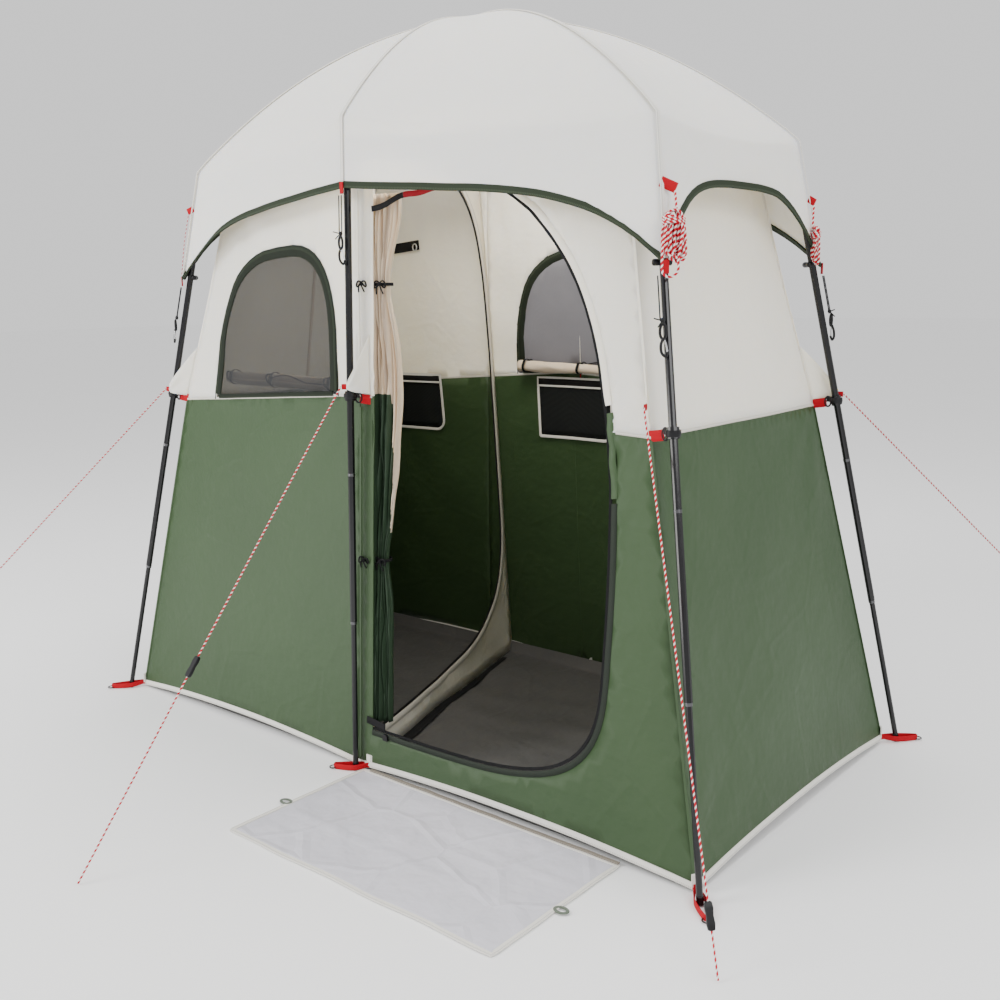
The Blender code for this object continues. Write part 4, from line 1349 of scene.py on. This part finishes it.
def make_door_panel():
    """Door cloth in upright pleats, tied twice; its off-white part hangs lower at the right."""
    low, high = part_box("door_panel")
    ties = (0.565, 1.266)
    columns = 150
    x0 = DOOR_LEFT - 0.018
    heights = line(110, low[2] + 0.001, high[2] - 0.001)

    def shape(z):
        pinch = 1.0
        for t in ties:
            pinch -= math.exp(-((z - t) / 0.085) ** 2)
        flare = 0.024 * math.exp(-((z - 1.03) / 0.19) ** 2) + 0.034 * math.exp(-((z - 1.46) / 0.12) ** 2)
        return 0.034 + 0.020 * pinch + flare, 0.030 + 0.014 * pinch, pinch
    rows = []
    for z in heights:
        width, depth, pinch = shape(z)
        hung = Vector((DOOR_LEFT - 0.002, -wall_y(DOOR_LEFT, z) + 0.003, z))
        row = []
        for j in range(columns + 1):
            u = j / columns
            broad = noise.noise(Vector((u * 3.0, z * 1.8, 1.0)))
            small = noise.noise(Vector((u * 9.0, z * 5.0, 6.0)))
            pleat = 0.75 * math.sin(2 * math.pi * 7 * u + 3.2 * broad)
            pleat += 0.40 * math.sin(2 * math.pi * 12 * u + 4.0 * small + 2 * z)
            calm = 1.0 if u < 0.70 else 0.45
            x = x0 + width * (u + 0.05 * pinch * small + 0.02 * math.sin(2 * math.pi * 14 * u))
            y = -wall_y(x0, z) + TIE_OUT + 0.5 * depth * calm * pleat + 0.012 * broad * pinch
            here = Vector((x, y, z))
            joined = min(1.0, u / 0.06)
            row.append(hung.lerp(here, joined * joined * (3 - 2 * joined)))
        rows.append(row)

    def is_dark(row, column):
        u = column / columns
        edge = 0.66 + 0.34 * (WAIST_MID - heights[row]) / 0.36
        return heights[row] < WAIST_MID and u < edge
    cloth = grid("door_cloth", rows, "tan", second="door_dark", uses_second=is_dark)
    finish_cloth(cloth, "gathered", "door_curtain", "tan", ["door_panel"], NET_CLOTH,
                 flat=(DOOR_SIZE[0], heights[-1] - heights[0]), rests_on=["door_left_edge_upper"])
    for i, z in enumerate(ties):
        width, depth, _ = shape(z)
        centre = Vector((x0 + 0.5 * width, -wall_y(x0, z) + TIE_OUT, z))
        ring = loop_path(centre, RIGHT, FRONT, width + 0.012, depth + 0.014, 28)
        lay_strap(f"door_tie_{i}", ring, [p - centre for p in ring], 0.008, 0.002, "black_web",
                  "door_curtain", "plastic")
        knot = centre + FRONT * (0.5 * depth + 0.010) + RIGHT * 0.012
        finish_piece(bow(f"door_bow_{i}", knot, RIGHT, FRONT, 0.020), "door_curtain", "plastic")
        outside = Vector((0.016, -wall_y(0.016, z) - 0.006, z + 0.002))
        finish_piece(bow(f"door_toggle_{i}", outside, RIGHT, FRONT, 0.017), "root", "plastic")


# ---- Mat, cords, webbing ------------------------------------------------------------------------
def make_mat():
    """Mat in front of the doorway: creased, bound, with a loop at each side and a tape along its seam."""
    low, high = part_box("mat")

    def place(x, y):
        u = (x - low[0]) / (high[0] - low[0])
        v = (y - low[1]) / (high[1] - low[1])
        fade = max(0.0, min(1.0, 10 * u, 10 * (1 - u), 8 * v, 8 * (1 - v)))
        folds = noise.noise(Vector((x * 11, y * 8, 3)))
        folds += 0.6 * noise.noise(Vector((x * 24 + y * 9, y * 20, 5)))
        drift = 0.02 * noise.noise(Vector((x * 5, y * 5, 9)))
        crease = sum(math.exp(-((u + drift - c) / 0.010) ** 2) for c in (0.25, 0.51, 0.77))
        crease += 1.2 * sum(math.exp(-((v + drift - c) / 0.016) ** 2) for c in (0.36, 0.70))
        wave_x = 0.003 * noise.noise(Vector((y * 9, 0, 2))) * min(1.0, 8 * abs(u - 0.5))
        wave_y = 0.004 * noise.noise(Vector((x * 7, 0, 6))) * max(0.0, 1 - 2 * v)
        rise = fade * max(-0.0006, 0.0040 * folds + 0.0030 * crease + 0.001)
        return Vector((x + wave_x, y + wave_y, 0.0022 + rise))
    near, far = low[1] + 0.006, high[1] - 0.002
    left, right = low[0] + 0.006, high[0] - 0.006
    dense = spread_points([(left, near), (right, near), (right, far), (left, far)], 30)
    cloth = panel("mat_cloth", dense, [], place, "mat", 0.0145)
    border = [place(x, y) + UP * 0.0006 for x, y in dense + dense[:1]]
    trim = lay_strap("mat_binding", border, UP, 0.012, 0.0034, "white_binding", "door_mat", "cream")
    parts = []
    for x, y, sx in ((left, low[1] + 0.18, -1), (right, low[1] + 0.21, 1)):
        eye = Vector((x + sx * 0.013, y, 0.0045))
        loop = loop_path(eye, RIGHT, -FRONT, 0.030, 0.020)
        parts.append(strap("loop", loop, UP, 0.007, 0.0020, "grey_web"))
    loops = finish_piece(join("mat_loops", parts), "door_mat", "cream")
    finish_cloth(cloth, "laid", "door_mat", "mat", ["mat"], 0.0014,
                 flat=(high[0] - low[0], high[1] - low[1]), with_pieces=[trim, loops])
    joint = []
    for x in line(60, low[0] + 0.030, high[0] - 0.004):
        sway = noise.noise(Vector((x * 14, 1, 1)))
        joint.append(Vector((x, high[1] + 0.002 + 0.002 * sway, 0.0065 + 0.002 * abs(sway))))
    lay_strap("mat_joint", joint, UP, 0.010, 0.0030, "brown_tape", "door_mat", "mat")


def make_cords():
    """Guy lines with their runners, which are waisted bars."""
    for which, (tied, ground, share) in GUYS.items():
        start, end = Vector(tied), Vector(ground)
        run = (end - start).normalized()
        path = [start.lerp(end, i / 60) for i in range(61)]
        cord = tube(f"guy_cord_{which}", path, CORD_R, "cord")
        finish_piece(cord, "root", "cord", [f"guy_line_{which}"])
        pieces = []
        if share is not None:
            middle = start.lerp(end, share)
            half = ((0.0, 0.84), (0.014, 1.0), (0.024, 0.85), (0.026, 0.55))
            shape = [(-d, size) for d, size in half[:0:-1]] + list(half)
            stations = [middle + run * d for d, _ in shape]
            bar = sweep(f"guy_slider_{which}", stations, tape(0.017, 0.0085), "plastic",
                        run.cross(UP).cross(run), [size for _, size in shape])
            pieces = [finish_piece(bar, f"runner_{which}", "plastic", [f"guy_runner_{which}"])]


def hank_route(which, z_top, axis, radius, drops, lean):
    """Hanging turns of cord, nested three by three, then turns round their neck and a short end."""
    out = outward(which)
    side = out.cross(UP)
    pitch = 0.0052
    depth_0 = -0.5 * pitch * len(drops) / 3
    top = leg_point(which, z_top) + out * axis[0] + side * axis[1]

    def at(across, down, depth):
        return top + side * across - UP * down + out * depth
    points = []
    for i, drop in enumerate(drops):
        round_it = radius + 0.0047 * (i % 3 - 1)
        tilt = lean * (1 if i % 2 else -1) * (0.7 + 0.3 * i / len(drops))
        straight = drop - 2 * round_it
        turn = [(round_it * math.sin(a), round_it * (1 - math.cos(a)))
                for a in line(6, -0.5 * math.pi, 0.5 * math.pi)]
        turn += [(round_it + 0.0022 * math.sin(5 * u + i), round_it + straight * u)
                 for u in line(6, 0, 1)[1:-1]]
        turn += [(round_it * math.cos(a), round_it + straight + round_it * math.sin(a))
                 for a in line(6, 0, math.pi)]
        turn += [(-round_it - 0.0022 * math.sin(4 * u + i), round_it + straight * (1 - u))
                 for u in line(6, 0, 1)[1:-1]]
        for k, (across, down) in enumerate(turn):
            share = down / drop
            points.append(at(across + tilt * share, down, depth_0 + pitch * (i + k / len(turn)) / 3))
    neck, deep = radius + 0.0095, -depth_0 + 0.0050
    for k in range(1, 3 * 16 + 1):
        a = math.pi + 2 * math.pi * k / 16
        if k > 3:
            points.append(at(neck * math.cos(a), 0.012 + 0.0052 * k / 16, -deep * math.sin(a)))
    points += [at(-neck, 0.040, 0.006), at(-neck - 0.002, 0.062, 0.008)]
    return points


def make_hanks():
    """Spare guy line hung in turns from two canopy corners."""
    many = (0.085, 0.098, 0.090, 0.076, 0.100, 0.086, 0.094, 0.082, 0.104, 0.090, 0.096, 0.134)
    few = (0.078, 0.086, 0.080, 0.090, 0.084, 0.094)
    bunches = (("front_right", 1.402, (0.050, -0.016), 0.0125, many, 0.010),
               ("back_right", 1.392, (0.016, 0.028), 0.0110, few, 0.005))
    for which, z_top, axis, turn_radius, drops, lean in bunches:
        eye = corner_tab(which)
        turns = hank_route(which, z_top, axis, turn_radius, drops, lean)
        route = smooth_curve([eye, eye.lerp(turns[0], 0.5) + UP * 0.004] + turns, 4)
        cord = tube(f"spare_cord_{which}", route, SPARE_R, "cord", count=8)
        finish_piece(cord, "root", "cord", [f"hank_{which}"])
        declare_cord(route)


def main():
    make_camera()
    make_studio()
    make_cords()
    make_hanks()
    make_walls()
    make_wall_trim()
    make_doorway()
    for side in SIDES:
        make_window(side)
        make_flap(side)
    make_canopy()
    carry_over()
    make_section_rings()
    for which in LEGS:
        make_ear(which)
        make_waist_fittings(which)
        make_foot_strap(which)
        make_tip_fittings(which)
    for which in ("front_left", "back_left"):
        make_spare_lead(which)
    make_divider()
    make_floor()
    make_pockets()
    make_inner_straps()
    make_door_panel()
    make_mat()


main()
